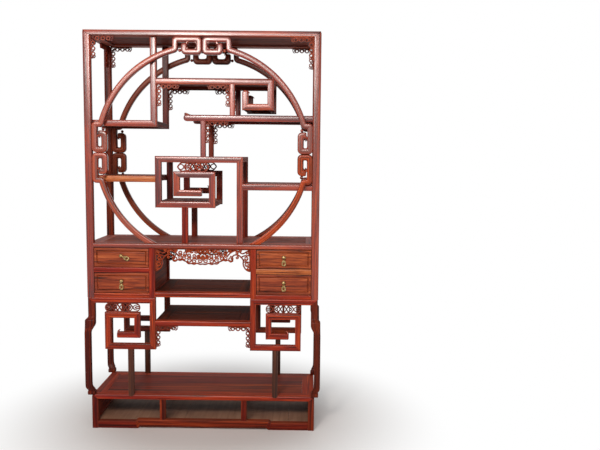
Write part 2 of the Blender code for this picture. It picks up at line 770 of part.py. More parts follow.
# Spiral shelf: a square spiral with a long leg, solid only in its top and bottom shelves
spiral_path = [
    (SPIRAL_RIGHT - half, MAIN_TOP + FIT),
    (SPIRAL_RIGHT - half, SPIRAL_TOP - half),
    (SPIRAL_LEFT + half, SPIRAL_TOP - half),
    (SPIRAL_LEFT + half, SPIRAL_UNDER + half),
    (SPIRAL_TURN_X - half, SPIRAL_UNDER + half),
    (SPIRAL_TURN_X - half, SPIRAL_UNDER + SPIRAL_TURN_RISE - half),
    (SPIRAL_INNER_X + half, SPIRAL_UNDER + SPIRAL_TURN_RISE - half),
    (SPIRAL_INNER_X + half, SPIRAL_UNDER + SPIRAL_INNER_RISE + half),
    (SPIRAL_END_X - half, SPIRAL_UNDER + SPIRAL_INNER_RISE + half),
    (SPIRAL_END_X - half, SPIRAL_UNDER + SPIRAL_INNER_RISE + TIP_RISE),
]
spiral = prism("spiral_shelf", [ribbon(spiral_path, RAIL)], "Y", shelf_span, ROSEWOOD)
soften(spiral, EDGE_ROUND, 2, shelf_faces)
inside_z = (SPIRAL_UNDER + RAIL, SPIRAL_TOP - RAIL)
cut(
    spiral,
    ((SPIRAL_LEFT - LAP, SPIRAL_TURN_X + LAP), CLEAR_Y, inside_z),
    ((SPIRAL_RIGHT - RAIL - LAP, SPIRAL_RIGHT + LAP), CLEAR_Y, (MAIN_TOP - LAP, inside_z[1])),
)
cut(
    spiral,
    shelf_recess((SPIRAL_LEFT + RAIL, SPIRAL_RIGHT - RAIL), SPIRAL_TOP),
    shelf_recess((SPIRAL_LEFT + RAIL, SPIRAL_TURN_X - RAIL), SPIRAL_UNDER + RAIL),
)
spacer_x = (SPIRAL_INNER_X + SPIRAL_TURN_X) / 2
spacer_low = SPIRAL_UNDER + SPIRAL_TURN_RISE
spacer_high = SPIRAL_TOP - RAIL
for face in FACES.values():
    loops = spacer_loops(
        SPACER_LENGTH, spacer_high - spacer_low, spacer_x, (spacer_low + spacer_high) / 2
    )
    spacer_y = around(face * bracket_y, CARVING_DEPTH)
    combine(spiral, prism(f"spiral_spacer_{face}", loops, "Y", spacer_y), "UNION")
    foot_x = around(SPIRAL_RIGHT - half)
    foot_z = (MAIN_TOP - TENON_REACH, MAIN_TOP + LAP)
    tenon("spiral_shelf", "main_shelf_frame", foot_x, around(face * (SHELF_Y - half)), foot_z)

# Side shelves that meet the spiral
for name, side_name, inner_x, top in (
    ("left_shelf", "left", SPIRAL_LEFT - FIT, LEFT_TOP),
    ("right_shelf", "right", SPIRAL_RIGHT + FIT, RIGHT_TOP),
):
    side = SIDES[side_name]
    shelf = block(name, (side * SIDE_X, inner_x), shelf_span, (top - RAIL, top), ROSEWOOD)
    soften(shelf, EDGE_ROUND, 2, shelf_faces)
    cut(shelf, shelf_recess((side * (SIDE_X - RAIL), inner_x + side * RAIL), top))
    side_tenons(name, side_name, top)
    butt_tenons(name, "spiral_shelf", inner_x, -side, top)

# Dividers and the post under the spiral, in front and back pairs
for face_name, face in FACES.items():
    for label, x, width, below, above, z in (
        ("upper_divider", UPPER_DIVIDER_X, DIVIDER, "altar_shelf", "upper_shelf", (ALTAR_TOP, UPPER_TOP - RAIL)),
        ("lower_divider", LOWER_DIVIDER_X, DIVIDER, "spiral_shelf", "altar_shelf", (SPIRAL_TOP, altar_under)),
        ("spiral_post", SPIRAL_POST_X, SPIRAL_POST, "main_shelf_frame", "spiral_shelf", (MAIN_TOP, SPIRAL_UNDER)),
    ):
        upright(f"{label}_{face_name}", x, width, face, z)
        end_tenons(f"{label}_{face_name}", x, face, below, above, z)


# Drawer cases

STILE_OUT = STILE_X + STILE
POCKET_BACK = HALF_D - 0.024


def drawer_case(side_name):
    side = SIDES[side_name]
    name = f"drawer_case_{side_name}"
    z = (LEG_TOP + FIT, CASE_TOP - FIT)
    case = block(name, (side * SIDE_X, side * STILE_X), (-HALF_D, HALF_D), z, ROSEWOOD)
    tall = (LEG_TOP - LAP, CASE_TOP + LAP)
    pocket_x = (side * INNER_X, side * STILE_OUT)
    notches = [
        ((side * (INNER_X - FIT), side * (HALF_W + LAP)), (f * (INNER_Y - FIT), f * (HALF_D + LAP)), tall)
        for f in (-1, 1)
    ]
    cut(case, *notches)
    pocket_y = (-HALF_D - LAP, POCKET_BACK)
    cut(
        case,
        (pocket_x, pocket_y, (LOWER_FLOOR, MIDDLE_RAIL)),
        (pocket_x, pocket_y, (UPPER_FLOOR, CASE_TOP + LAP)),
    )
    wall_z = (LOWER_FLOOR + 0.006, CASE_TOP - RAIL)
    back_x = (side * (INNER_X - RAIL), side * (STILE_OUT + 0.004))
    cut(
        case,
        ((side * (SIDE_X - 0.014), side * (HALF_W + LAP)), CLEAR_Y, wall_z),
        ((side * (STILE_X - LAP), side * (STILE_X + 0.010)), (-INNER_Y, INNER_Y), wall_z),
        (back_x, (HALF_D - 0.012, HALF_D + LAP), wall_z),
    )
    for face_name, face in FACES.items():
        middle_y = around(face * (HALF_D - POST / 2))
        post = f"corner_post_{face_name}_{side_name}"
        reach = (side * (INNER_X - FIT - LAP), side * (INNER_X + TENON_REACH))
        tenon(name, post, reach, middle_y, around(MIDDLE_RAIL + DRAWER_RAIL / 2))
        tenon(name, post, reach, middle_y, around(LEG_TOP + CASE_FLOOR / 2))
        stile_x = around(side * (STILE_X + STILE / 2))
        tenon(name, "main_shelf_frame", stile_x, middle_y, (CASE_TOP - LAP, CASE_TOP + TENON_REACH))


for side_name in SIDES:
    drawer_case(side_name)


# Centre shelves of the niche

for label, top, hosts in (
    ("upper", CENTRE_UPPER_TOP, "drawer_case_{side}"),
    ("lower", CENTRE_LOWER_TOP, "lower_fret_{face}_{side}"),
):
    name = f"centre_shelf_{label}"
    span = (FIT - STILE_X, STILE_X - FIT)
    shelf = block(name, span, (-HALF_D, HALF_D), (top - CENTRE_SHELF, top), ROSEWOOD)
    soften(shelf, EDGE_ROUND, 2, on_faces("Y", (-HALF_D, HALF_D)))
    hollow_x = (FRAME_RAIL - STILE_X, STILE_X - FRAME_RAIL)
    hollow_y = (POST - HALF_D, HALF_D - POST)
    cut(shelf, (hollow_x, hollow_y, (top - CENTRE_SHELF - LAP, top - PANEL)))
    for face_name, face in FACES.items():
        for side_name, side in SIDES.items():
            host = hosts.format(face=face_name, side=side_name)
            reach = (side * (STILE_X - FIT - LAP), side * (STILE_X + TENON_REACH))
            middle_y = around(face * (HALF_D - FRET_DEPTH / 2))
            tenon(name, host, reach, middle_y, around(top - CENTRE_SHELF / 2))
            if label == "lower":
                corner_u = side * STILE_X
                bracket_mid = face * (HALF_D - FRET_DEPTH / 2)
                add_bracket(shelf, corner_u, top - CENTRE_SHELF, -side, "Y", bracket_mid)


# Hanging frets beside the niche, each with a post below it

FRET_MID = FRET_DEPTH / 2


def lower_fret(side_name, face_name):
    side, face = SIDES[side_name], FACES[face_name]
    name = f"lower_fret_{face_name}_{side_name}"
    carving_top = LEG_TOP - RAIL
    fret_top = carving_top - FRET_CARVING
    inner = FRET_UNDER + FRET_INNER_RISE + half
    path = [
        (INNER_X - FIT, LEG_TOP - FIT - half),
        (STILE_X + half, LEG_TOP - FIT - half),
        (STILE_X + half, FRET_UNDER + half),
        (FRET_OUTER_X - half, FRET_UNDER + half),
        (FRET_OUTER_X - half, fret_top - half),
        (FRET_INNER_X + half, fret_top - half),
        (FRET_INNER_X + half, inner),
        (FRET_END_X - half, inner),
        (FRET_END_X - half, inner - half + TIP_RISE),
    ]
    span = (face * HALF_D, face * (HALF_D - FRET_DEPTH))
    edge = [(side * x, z) for x, z in ribbon(path, RAIL)]
    fret = prism(name, [edge], "Y", span, ROSEWOOD)
    soften(fret, EDGE_ROUND, 2, on_faces("Y", span))
    middle_y = face * (HALF_D - FRET_MID)
    spacer_u = side * (FRET_OUTER_X + FRET_INNER_X) / 2
    loops = spacer_loops(FRET_SPACER_LENGTH, FRET_CARVING, spacer_u, (carving_top + fret_top) / 2)
    combine(fret, prism(name + "_spacer", loops, "Y", around(middle_y, CARVING_DEPTH)), "UNION")
    leg = f"curved_leg_{face_name}_{side_name}"
    reach = (side * (INNER_X - FIT - LAP), side * (INNER_X + 0.008))
    tenon(name, leg, reach, around(middle_y), around(LEG_TOP - half, 0.008))
    post = f"fret_post_{face_name}_{side_name}"
    post_x = around(side * FRET_POST_X, FRET_POST)
    section = rounded(post_x, around(middle_y, FRET_DEPTH), 0.006)
    prism(post, [section], "Z", (BASE_HEIGHT + FIT, FRET_UNDER - FIT), ROSEWOOD)
    post_x = around(side * FRET_POST_X)
    tenon(post, name, post_x, around(middle_y), (FRET_UNDER - LAP, FRET_UNDER + TENON_REACH))
    foot_z = (BASE_HEIGHT - TENON_REACH, BASE_HEIGHT + LAP)
    tenon(post, "base_top_frame", post_x, around(middle_y), foot_z)


for side_name in SIDES:
    for face_name in FACES:
        lower_fret(side_name, face_name)


# Corner brackets under the top, in the front, back and side openings

for side in SIDES.values():
    for face in FACES.values():
        add_bracket(top_frame, side * INNER_X, TOP_UNDER, -side, "Y", face * (HALF_D - POST / 2))
        add_bracket(top_frame, face * INNER_Y, TOP_UNDER, -face, "X", side * (HALF_W - POST / 2))


# Carved aprons of the niche

# Places along the half length and down the drop, as shares of each
APRON_EDGE = [
    (0.0000, 0.7350),
    (0.1252, 0.7094),
    (0.2587, 0.6923),
    (0.3338, 0.5470),
    (0.4088, 0.5983),
    (0.4923, 0.5299),
    (0.5841, 0.6154),
    (0.6592, 0.5812),
    (0.7176, 0.4786),
    (0.7927, 0.3761),
    (0.8469, 0.5299),
    (0.8678, 0.8034),
    (0.9178, 0.9402),
]
APRON_HOLES = [
    ((0.0751, 0.4444), 0.0501, 0.1197),
    ((0.1919, 0.3419), 0.0459, 0.1026),
    ((0.3338, 0.2735), 0.0501, 0.1111),
    ((0.4756, 0.3248), 0.0542, 0.0940),
    ((0.6258, 0.3077), 0.0501, 0.1111),
    ((0.7760, 0.1880), 0.0542, 0.0855),
    ((0.9220, 0.4103), 0.0334, 0.1282),
    ((0.9345, 0.7179), 0.0250, 0.1026),
]


def apron(face_name):
    face = FACES[face_name]
    name = f"carved_apron_{face_name}"
    top = CASE_TOP - FIT
    end = STILE_X - FIT
    lower = [(x * end, top - z * APRON_DROP) for x, z in APRON_EDGE] + [(end, top - APRON_DROP)]
    edge = [(-x, z) for x, z in lower[:0:-1]] + lower + [(end, top), (-end, top)]
    loops = [edge]
    for (u, v), wide, high in APRON_HOLES:
        for s in (-1, 1):
            points = ((-wide, 0.1 * high), (-0.2 * wide, high), (wide, 0.2 * high), (0.1 * wide, -high))
            loops.append([(s * (u + a) * end, top - (v - b) * APRON_DROP) for a, b in points])
    middle_y = face * (HALF_D - POST / 2)
    prism(name, loops, "Y", around(middle_y, CARVING_DEPTH), ROSEWOOD_CARVED)
    for s in (-1, 1):
        reach = (CASE_TOP - LAP, CASE_TOP + TENON_REACH)
        tenon(name, "main_shelf_frame", around(s * 0.100), around(middle_y, 0.008), reach)


for face_name in FACES:
    apron(face_name)


# Base: an open plinth with humped rails, and a raw bottom board

plinth_x = (-BASE_HALF_W, BASE_HALF_W)
plinth = block("base_plinth", plinth_x, (-HALF_D, HALF_D), (0.0, BASE_UNDER - FIT), ROSEWOOD)
room_x = BASE_HALF_W - BASE_WALL
room_y = HALF_D - BASE_FACE
cut(plinth, ((-room_x, room_x), (-room_y, room_y), (BOARD_UNDER, BASE_HEIGHT)))
cut(
    plinth,
    ((LEDGE - room_x, room_x - LEDGE), (LEDGE - room_y, room_y - LEDGE), (-LAP, BOARD_UNDER + LAP)),
)
bay_out = BASE_HALF_W - BASE_STILE
bay_in = BASE_DIVIDER_X + BASE_DIVIDER / 2
centre_bay = BASE_DIVIDER_X - BASE_DIVIDER / 2
hump_top = BASE_RAIL + HUMP
bay = [
    (bay_in, BASE_HEIGHT),
    (bay_in, hump_top),
    (HUMP_X - HUMP_SLOPE / 2, hump_top),
    (HUMP_X + HUMP_SLOPE / 2, BASE_RAIL),
    (bay_out, BASE_RAIL),
    (bay_out, BASE_HEIGHT),
]
centre = rounded((-centre_bay, centre_bay), (hump_top, BASE_HEIGHT + 0.05), 0.003)
through = (-HALF_D - LAP, HALF_D + LAP)
arch = [
    (HUMP_X + HUMP_SLOPE / 2, -LAP),
    (HUMP_X + HUMP_SLOPE / 2, 0.0),
    (HUMP_X - HUMP_SLOPE / 2, HUMP),
]
arch += [(-x, z) for x, z in reversed(arch)]
openings = [("centre", centre), ("arch", arch)]
for side_name, side in SIDES.items():
    openings.append((side_name, [(side * x, z) for x, z in bay]))
for label, loop in openings:
    combine(plinth, prism(f"base_plinth_{label}", [loop], "Y", through), "DIFFERENCE")
side_arch = [(y * 0.5 * HALF_D / HUMP_X, z) for y, z in arch]
side_through = (-BASE_HALF_W - LAP, BASE_HALF_W + LAP)
combine(plinth, prism("base_plinth_side_arch", [side_arch], "X", side_through), "DIFFERENCE")
board_x = room_x - FIT
board_y = room_y - FIT
board_z = (BOARD_UNDER + FIT, BOARD_UNDER + BOARD)
block("base_bottom_board", (-board_x, board_x), (-board_y, board_y), board_z, RAW_BOARD)
for side in SIDES.values():
    for face in FACES.values():
        peg_x = around(side * (BASE_HALF_W - BASE_STILE + 0.006), 0.009)
        peg_y = around(face * (HALF_D - BASE_FACE / 2 - 0.006), 0.009)
        tenon("base_plinth", "base_top_frame", peg_x, peg_y, (BASE_UNDER - LAP, BASE_UNDER + 0.007))


# Drawers and their brass pulls


def drawer(side_name, level):
    side = SIDES[side_name]
    place = f"{level}_{side_name}"
    low, high = {"upper": (UPPER_FLOOR, CASE_TOP), "lower": (LOWER_FLOOR, MIDDLE_RAIL)}[level]
    near, far = sorted((side * STILE_OUT, side * INNER_X))
    face_y = DRAWER_RECESS - HALF_D
    back_y = face_y + DRAWER_FRONT
    front_x = (near + DRAWER_PLAY, far - DRAWER_PLAY)
    front_z = (low + DRAWER_PLAY, high - DRAWER_PLAY)
    front = block(f"drawer_front_{place}", front_x, (face_y, back_y), front_z, ROSEWOOD_PANEL)
    shape = bmesh.new()
    shape.from_mesh(front.data)
    shape.normal_update()
    field = [f for f in shape.faces if f.normal.y < -0.9]
    for thickness, depth in ((BORDER, 0.0), (BEAD_STEP, -BEAD_STEP), (BEAD_STEP, BEAD_STEP)):
        bmesh.ops.inset_region(shape, faces=field, thickness=thickness, depth=depth)
    shape.to_mesh(front.data)
    shape.free()

    box_x = (near + DRAWER_PLAY + FIT, far - DRAWER_PLAY - FIT)
    box_y = (back_y + FIT, POCKET_BACK - DRAWER_BACK_ROOM)
    box_z = (low + FIT, high - DRAWER_PLAY - 0.012)
    name = f"drawer_box_{place}"
    tray = block(name, box_x, box_y, box_z, RAW_BOARD)
    inside_x = (box_x[0] + DRAWER_WALL, box_x[1] - DRAWER_WALL)
    inside_y = (box_y[0] + DRAWER_WALL, box_y[1] - DRAWER_WALL)
    cut(tray, (inside_x, inside_y, (box_z[0] + DRAWER_FLOOR, high)))
    for x in (box_x[0] + DRAWER_WALL / 2, box_x[1] - DRAWER_WALL / 2):
        for share in (0.3, 0.7):
            z = box_z[0] + share * (box_z[1] - box_z[0])
            reach = (back_y - 0.007, back_y + LAP)
            tenon(name, front.name, around(x, 0.006), reach, around(z, 0.012))

    knob = Vector(((near + far) / 2, face_y, (low + high) / 2 + KNOB_RISE))
    turn = UPPER_LEFT_TURN if place == "upper_left" else 0.0
    pull(place, front, Matrix.Translation(knob) @ Matrix.Rotation(-turn, 4, "Y"))


def moved(obj, place):
    obj.data.transform(place)
    return obj


def cylinder(name, radius, half_length, place, sides=10):
    """A rod along X."""
    mesh = bpy.data.meshes.new(name)
    shape = bmesh.new()
    bmesh.ops.create_cone(
        shape,
        cap_ends=True,
        segments=sides,
        radius1=radius,
        radius2=radius,
        depth=2 * half_length,
        matrix=place @ Matrix.Rotation(math.pi / 2, 4, "Y"),
    )
    shape.to_mesh(mesh)
    shape.free()
    return mesh_object(name, mesh, None)


KNOB_SIDE = [
    (0.0, 0.0130),
    (0.0050, 0.0122),
    (0.0085, 0.0096),
    (0.0100, 0.0062),
    (0.0088, 0.0034),
    (0.0042, 0.0026),
    (0.0042, -0.0100),
    (0.0, -0.0100),
]


def turned(name, profile, place, material=None):
    """A profile of radius and height, turned about the outward axis of a pull."""
    mesh = bpy.data.meshes.new(name)
    shape = bmesh.new()
    points = [shape.verts.new((radius, 0.0, height)) for radius, height in profile]
    for a, b in zip(points, points[1:]):
        shape.edges.new((a, b))
    shape.to_mesh(mesh)
    shape.free()
    obj = mesh_object(name, mesh, material)
    obj.matrix_world = place @ Matrix.Rotation(math.pi / 2, 4, "X")
    screw = obj.modifiers.new("Screw", "SCREW")
    screw.steps = 12
    screw.render_steps = 12
    screw.use_merge_vertices = True
    screw.merge_threshold = 0.0001
    return obj


def pull(place, front, where):
    """A knob with a pin under it, and a pierced drop that swings on the pin."""
    stud = turned(f"pull_stud_{place}", KNOB_SIDE, where, BRASS)
    pin = where @ Matrix.Translation((0.0, -PIN_OUT, -KNOB_DROP))
    web_y = (-PIN_OUT - 0.0014, -PIN_OUT + 0.0014)
    web = block(f"{stud.name}_web", (-0.0015, 0.0015), web_y, (-KNOB_DROP, -0.004))
    combine(stud, moved(web, where), "UNION")
    combine(stud, cylinder(f"{stud.name}_pin", PIN_RADIUS, PIN_HALF, pin), "UNION")
    hole = [(r + FIT, h) for r, h in KNOB_SIDE[5:7]]
    bore = [(0.0, 0.004), (hole[0][0], 0.004), (hole[0][0], -0.0105), (0.0, -0.0105)]
    combine(front, turned(f"{stud.name}_bore", bore, where), "DIFFERENCE")

    name = f"pull_drop_{place}"
    wide, long = DROP_WIDTH / 2, DROP_LENGTH
    side = [
        (0.0, -long),
        (0.32 * wide, -0.93 * long),
        (0.74 * wide, -0.90 * long),
        (wide, -0.66 * long),
        (0.90 * wide, -0.46 * long),
        (0.96 * wide, -0.30 * long),
        (0.62 * wide, -0.12 * long),
        (0.56 * wide, -0.02 * long),
    ]
    edge = side + [(-a, b) for a, b in reversed(side[1:])]
    window = rounded((-0.30 * wide, 0.30 * wide), (-0.70 * long, -0.34 * long), 0.002)
    around_pin = (-DROP_THICKNESS / 2, DROP_THICKNESS / 2)
    drop = prism(name, [edge, window], "Y", around_pin, BRASS)
    combine(drop, cylinder(f"{name}_barrel", BARREL_RADIUS, PIN_HALF, Matrix.Identity(4)), "UNION")
    bore = cylinder(f"{name}_bore", PIN_RADIUS + PIN_PLAY, 2 * PIN_HALF, Matrix.Identity(4))
    combine(drop, bore, "DIFFERENCE")
    gap = (-BARREL_RADIUS - 0.001, BARREL_RADIUS + 0.002)
    slot = block(f"{name}_slot", (-0.0024, 0.0024), gap, gap)
    combine(drop, slot, "DIFFERENCE")
    drop.matrix_world = pin
    for helper in (f"{name}_barrel", f"{name}_bore", f"{name}_slot"):
        bpy.data.objects[helper].matrix_world = pin


for side_name in SIDES:
    for level in ("upper", "lower"):
        drawer(side_name, level)


# Tenons and mortises last, so that they pass through every other shape

for owner, boxes in TENONS.items():
    combine(NODES[owner], blocks(owner + "_tenons", boxes), "UNION")
for host, boxes in MORTISES.items():
    combine(NODES[host], blocks(host + "_mortises", boxes), "DIFFERENCE")
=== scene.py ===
"""Looks of the chinese curio shelf: moulded rosewood members, carved work and brass pulls.

Metres, +Z up, the front faces -Y, and the origin is on the floor under the middle of the shelf.
"""

import math
import random

import bmesh
import bpy
from mathutils import Matrix, Vector


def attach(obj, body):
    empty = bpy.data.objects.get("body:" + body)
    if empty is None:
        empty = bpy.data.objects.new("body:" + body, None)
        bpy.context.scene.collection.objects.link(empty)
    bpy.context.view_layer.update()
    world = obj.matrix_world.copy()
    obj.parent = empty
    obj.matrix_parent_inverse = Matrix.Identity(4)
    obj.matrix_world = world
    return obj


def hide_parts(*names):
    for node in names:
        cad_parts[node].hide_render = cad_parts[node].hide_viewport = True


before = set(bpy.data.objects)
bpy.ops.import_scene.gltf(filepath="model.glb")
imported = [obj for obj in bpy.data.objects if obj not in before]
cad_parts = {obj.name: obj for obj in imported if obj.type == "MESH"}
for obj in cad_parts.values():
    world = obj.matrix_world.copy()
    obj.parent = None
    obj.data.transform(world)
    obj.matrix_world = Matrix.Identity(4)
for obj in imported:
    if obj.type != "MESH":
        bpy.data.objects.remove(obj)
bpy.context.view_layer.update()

# Sizes of the frame, as the solids have them
HALF_W = 0.580
HALF_D = 0.195
POST = 0.034
POST_Y = HALF_D - POST / 2
POST_SHIFT = 0.0005
INNER_X = HALF_W - POST
INNER_Y = HALF_D - POST
GAP = 0.0003
RAIL = 0.027
HALF = RAIL / 2
SHELF_Y = INNER_Y - GAP
SHELF_IN = SHELF_Y - RAIL
BAR_Y = SHELF_Y - HALF
SIDE_X = 0.576
FRAME_RAIL = 0.064
PANEL = 0.012
SEAM = 0.0004
BASE_TOP = 0.177
BASE_UNDER = 0.153
BASE_HALF_W = 0.568
LEG_TOP = 0.679
LOWER_FLOOR = 0.702
MIDDLE_RAIL = 0.807
UPPER_FLOOR = 0.834
CASE_TOP = 0.932
MAIN_TOP = 0.957
MOON_Z = 1.407
MOON_RADIUS = 0.520
TOP_UNDER = 1.973
TOP_SINK = 0.006
HEIGHT = 2.000

# Shelves between the moon rings: heights of their top faces, and places across of their uprights
BOX_TOP = 1.566
UPPER_TOP = 1.774
ALTAR_TOP = 1.595
SPIRAL_TOP = 1.390
SPIRAL_UNDER = 1.136
LEFT_TOP = 1.290
RIGHT_TOP = 1.254
HANGING_X = -0.232
HOOK_RIGHT = 0.348
HOOK_LEFT = 0.196
HOOK_UNDER = UPPER_TOP - 0.150
HOOK_TIP = UPPER_TOP - 0.054
UPPER_DIVIDER_X = 0.145
LOWER_DIVIDER_X = -0.001
DIVIDER = 0.022
ALTAR_END_X = -0.097
FLANGE = 0.052
SPIRAL_LEFT = -0.240
SPIRAL_RIGHT = 0.196
SPIRAL_TURN_X = 0.057
SPIRAL_TURN = SPIRAL_UNDER + 0.178
SPIRAL_INNER_X = -0.148
SPIRAL_INNER = SPIRAL_UNDER + 0.058
SPIRAL_END_X = -0.008
SPIRAL_POST_X = -0.0935
SPIRAL_POST = 0.030
SPIRAL_SPACER = 0.160
SPIRAL_SPACER_X = (SPIRAL_INNER_X + SPIRAL_TURN_X) / 2 - 0.006

# Lower half
STILE_X = 0.240
STILE = 0.029
STILE_OUT = STILE_X + STILE
POCKET_BACK = HALF_D - 0.024
CASE_WALL = 0.010
CASE_BACK = 0.012
CASE_SIDE = 0.014
CASE_RIM = 0.006
CASE_FLOORS = ((LEG_TOP, LOWER_FLOOR), (MIDDLE_RAIL, UPPER_FLOOR))
FRET_DEPTH = 0.027
FRET_Y = HALF_D - FRET_DEPTH / 2
FRET_UNDER = LEG_TOP - 0.264
FRET_OUTER_X = 0.495
FRET_CARVING = 0.049
FRET_TOP = LEG_TOP - RAIL - FRET_CARVING
FRET_INNER_X = 0.319
FRET_INNER = FRET_UNDER + 0.059
FRET_END_X = 0.435
FRET_POST_X = 0.3665
FRET_POST = 0.028
FRET_SPACER = 0.182
CENTRE_TOPS = {"upper": 0.711, "lower": 0.564}
CENTRE_SHELF = 0.028
BASE_STILE = 0.0315
BASE_WALL = 0.020
BASE_FACE = 0.030
BASE_DIVIDER_X = 0.208
BASE_DIVIDER = 0.028
BASE_RAIL = 0.038
BASE_BOARD = (0.0243, 0.036)
BASE_SEAMS = (-0.355, -0.105, 0.150, 0.435)
HUMP = 0.009
HUMP_X = 0.336
HUMP_SLOPE = 0.012

# Widths at which members are shown, and how far their crowns swell outwards and inwards
SHOWN_RAIL = 0.031
SHOWN_FRET = 0.029
SHOWN_POST = 0.037
SHOWN_DIVIDER = 0.0255
CROWNS = (0.0044, 0.0012)
UPRIGHT_CROWN = 0.8 * CROWNS[0]
CENTRE_CROWNS = (0.0095, 0.0010)
BASE_CROWNS = (0.004, 0.001)
CROSS_CROWN = 0.004
TOP_CROWN = 0.0028
BASE_TOP_CROWN = 0.005
MAIN_CROWN = 0.008
INSIDE_CROWN = 0.0008
CROWN_POWER = 0.65
CROWN_STEPS = 8
MITRE_SHARE = 0.85
JOINT = 0.00015
ARRIS = 0.0008
SCRIBED = 0.008

# Ornament
CARVING_DEPTH = 0.012
BRACKET_REACH = 0.116
BRACKET_DROP = 0.112
BRACKET_RAIL = 0.0021
BRACKET_MIDDLE = 0.0130
CREST_BAR = 0.029
CREST = (0.146, 0.088, CREST_BAR)
FLANK = (0.152, 0.076, 0.0290)
SCROLL_SLOT = 0.015
SCROLL_DEPTH = 0.031
SCROLL_BEND = 0.009
RING_SHARE = 0.98
ARC_STEPS = 30
REDDER_ARC = (1, -1)
BEAD = 0.0078
FINGER = (0.0135, 0.04)
BLUNT = (0.0050, 0.55)
TIP_STEPS = 5
SHARP_TURN = 0.2
FOOT_TUCK = math.radians(4)

# Carved bands: their width, depth, squareness and number of sides
ARC_BAND = (CREST_BAR, SCROLL_DEPTH, 4.4, 24)
RIM_BAND = (0.010, 0.024, 2.4, 14)
HOOK_BAND = (0.011, 0.022, 2.2, 12)
HORN_BAND = (0.015, 0.019, 2.6, 12)
FRET_HORN_BAND = (0.014, 0.019, 2.6, 12)
SPACER_BAND = (0.0074, CARVING_DEPTH, 2.6, 12)
FRET_SPACER_BAND = (0.0055, CARVING_DEPTH, 2.6, 12)
LINK_BAND = (0.0058, CARVING_DEPTH, 2.4, 10)
EDGE_BAND = (2 * BRACKET_RAIL, CARVING_DEPTH * 0.94, 2.6, 10)
STEM_BAND = (0.0038, CARVING_DEPTH * 0.88, 2.4, 10)
VINE_BAND = (0.0072, CARVING_DEPTH, 2.4, 10)
VOLUTE_BAND = (0.0068, CARVING_DEPTH * 0.86, 2.2, 10)

# Drawers and pulls
DRAWER_PLAY = 0.0022
DRAWER_FACE_Y = 0.004 - HALF_D
DRAWER_FRONT = 0.018
BORDER = 0.011
KNOB_RISE = 0.010
KNOB_DROP = 0.015
PIN_OUT = 0.006
PIN_RADIUS = 0.002
PIN_HALF = 0.0065
STEM_TOP = 0.0045
STEM_RADIUS = 0.0015
COLLAR = (0.0026, 0.0066)
COLLAR_RADIUS = 0.0037
DROP_HALF = 0.011
DROP_LONG = 0.029
UPPER_LEFT_TURN = math.radians(65)

SIDES = {"left": -1, "right": 1}
FACES = {"front": -1, "back": 1}
ACROSS = Vector((1, 0, 0))
IN_FRONT = Vector((0, 1, 0))
LEVEL = Vector((0, 0, 1))
AS_DRAWN = Matrix.Identity(4)
DICE = random.Random(11)
TIMBER = 40.0
SHARP = math.radians(38)


# Finishes

RANGE = ("From Min", "From Max", "To Min", "To Max")
TIMES = {"data_type": "RGBA", "blend_type": "MULTIPLY"}


def linear(shade):
    """A colour written as sRGB hex, made linear."""
    parts = [int(shade[i : i + 2], 16) / 255 for i in (1, 3, 5)]
    return [c / 12.92 if c <= 0.04045 else ((c + 0.055) / 1.055) ** 2.4 for c in parts] + [1.0]


def feed(tree, node, links=None, values=None):
    """Gives a node its fixed inputs and links. A link that names a node takes its first output."""
    for name, value in (values or {}).items():
        node.inputs[name].default_value = value
    for name, source in (links or {}).items():
        tree.links.new(getattr(source, "outputs", [source])[0], node.inputs[name])


def add(tree, kind, links=None, values=None, stops=(), **settings):
    """Adds a node with its settings, fixed inputs and links. Stops are the places and colours of a ramp."""
    made = tree.nodes.new(kind)
    for name, value in settings.items():
        setattr(made, name, value)
    feed(tree, made, links, values)
    for i, (place, shade) in enumerate(stops):
        element = made.color_ramp.elements[i] if i < 2 else made.color_ramp.elements.new(place)
        element.position = place
        element.color = linear(shade)
    return made


def blank(name):
    """A new material with its tree and shader."""
    material = bpy.data.materials.new(name)
    material.use_nodes = True
    return material, material.node_tree, material.node_tree.nodes["Principled BSDF"]


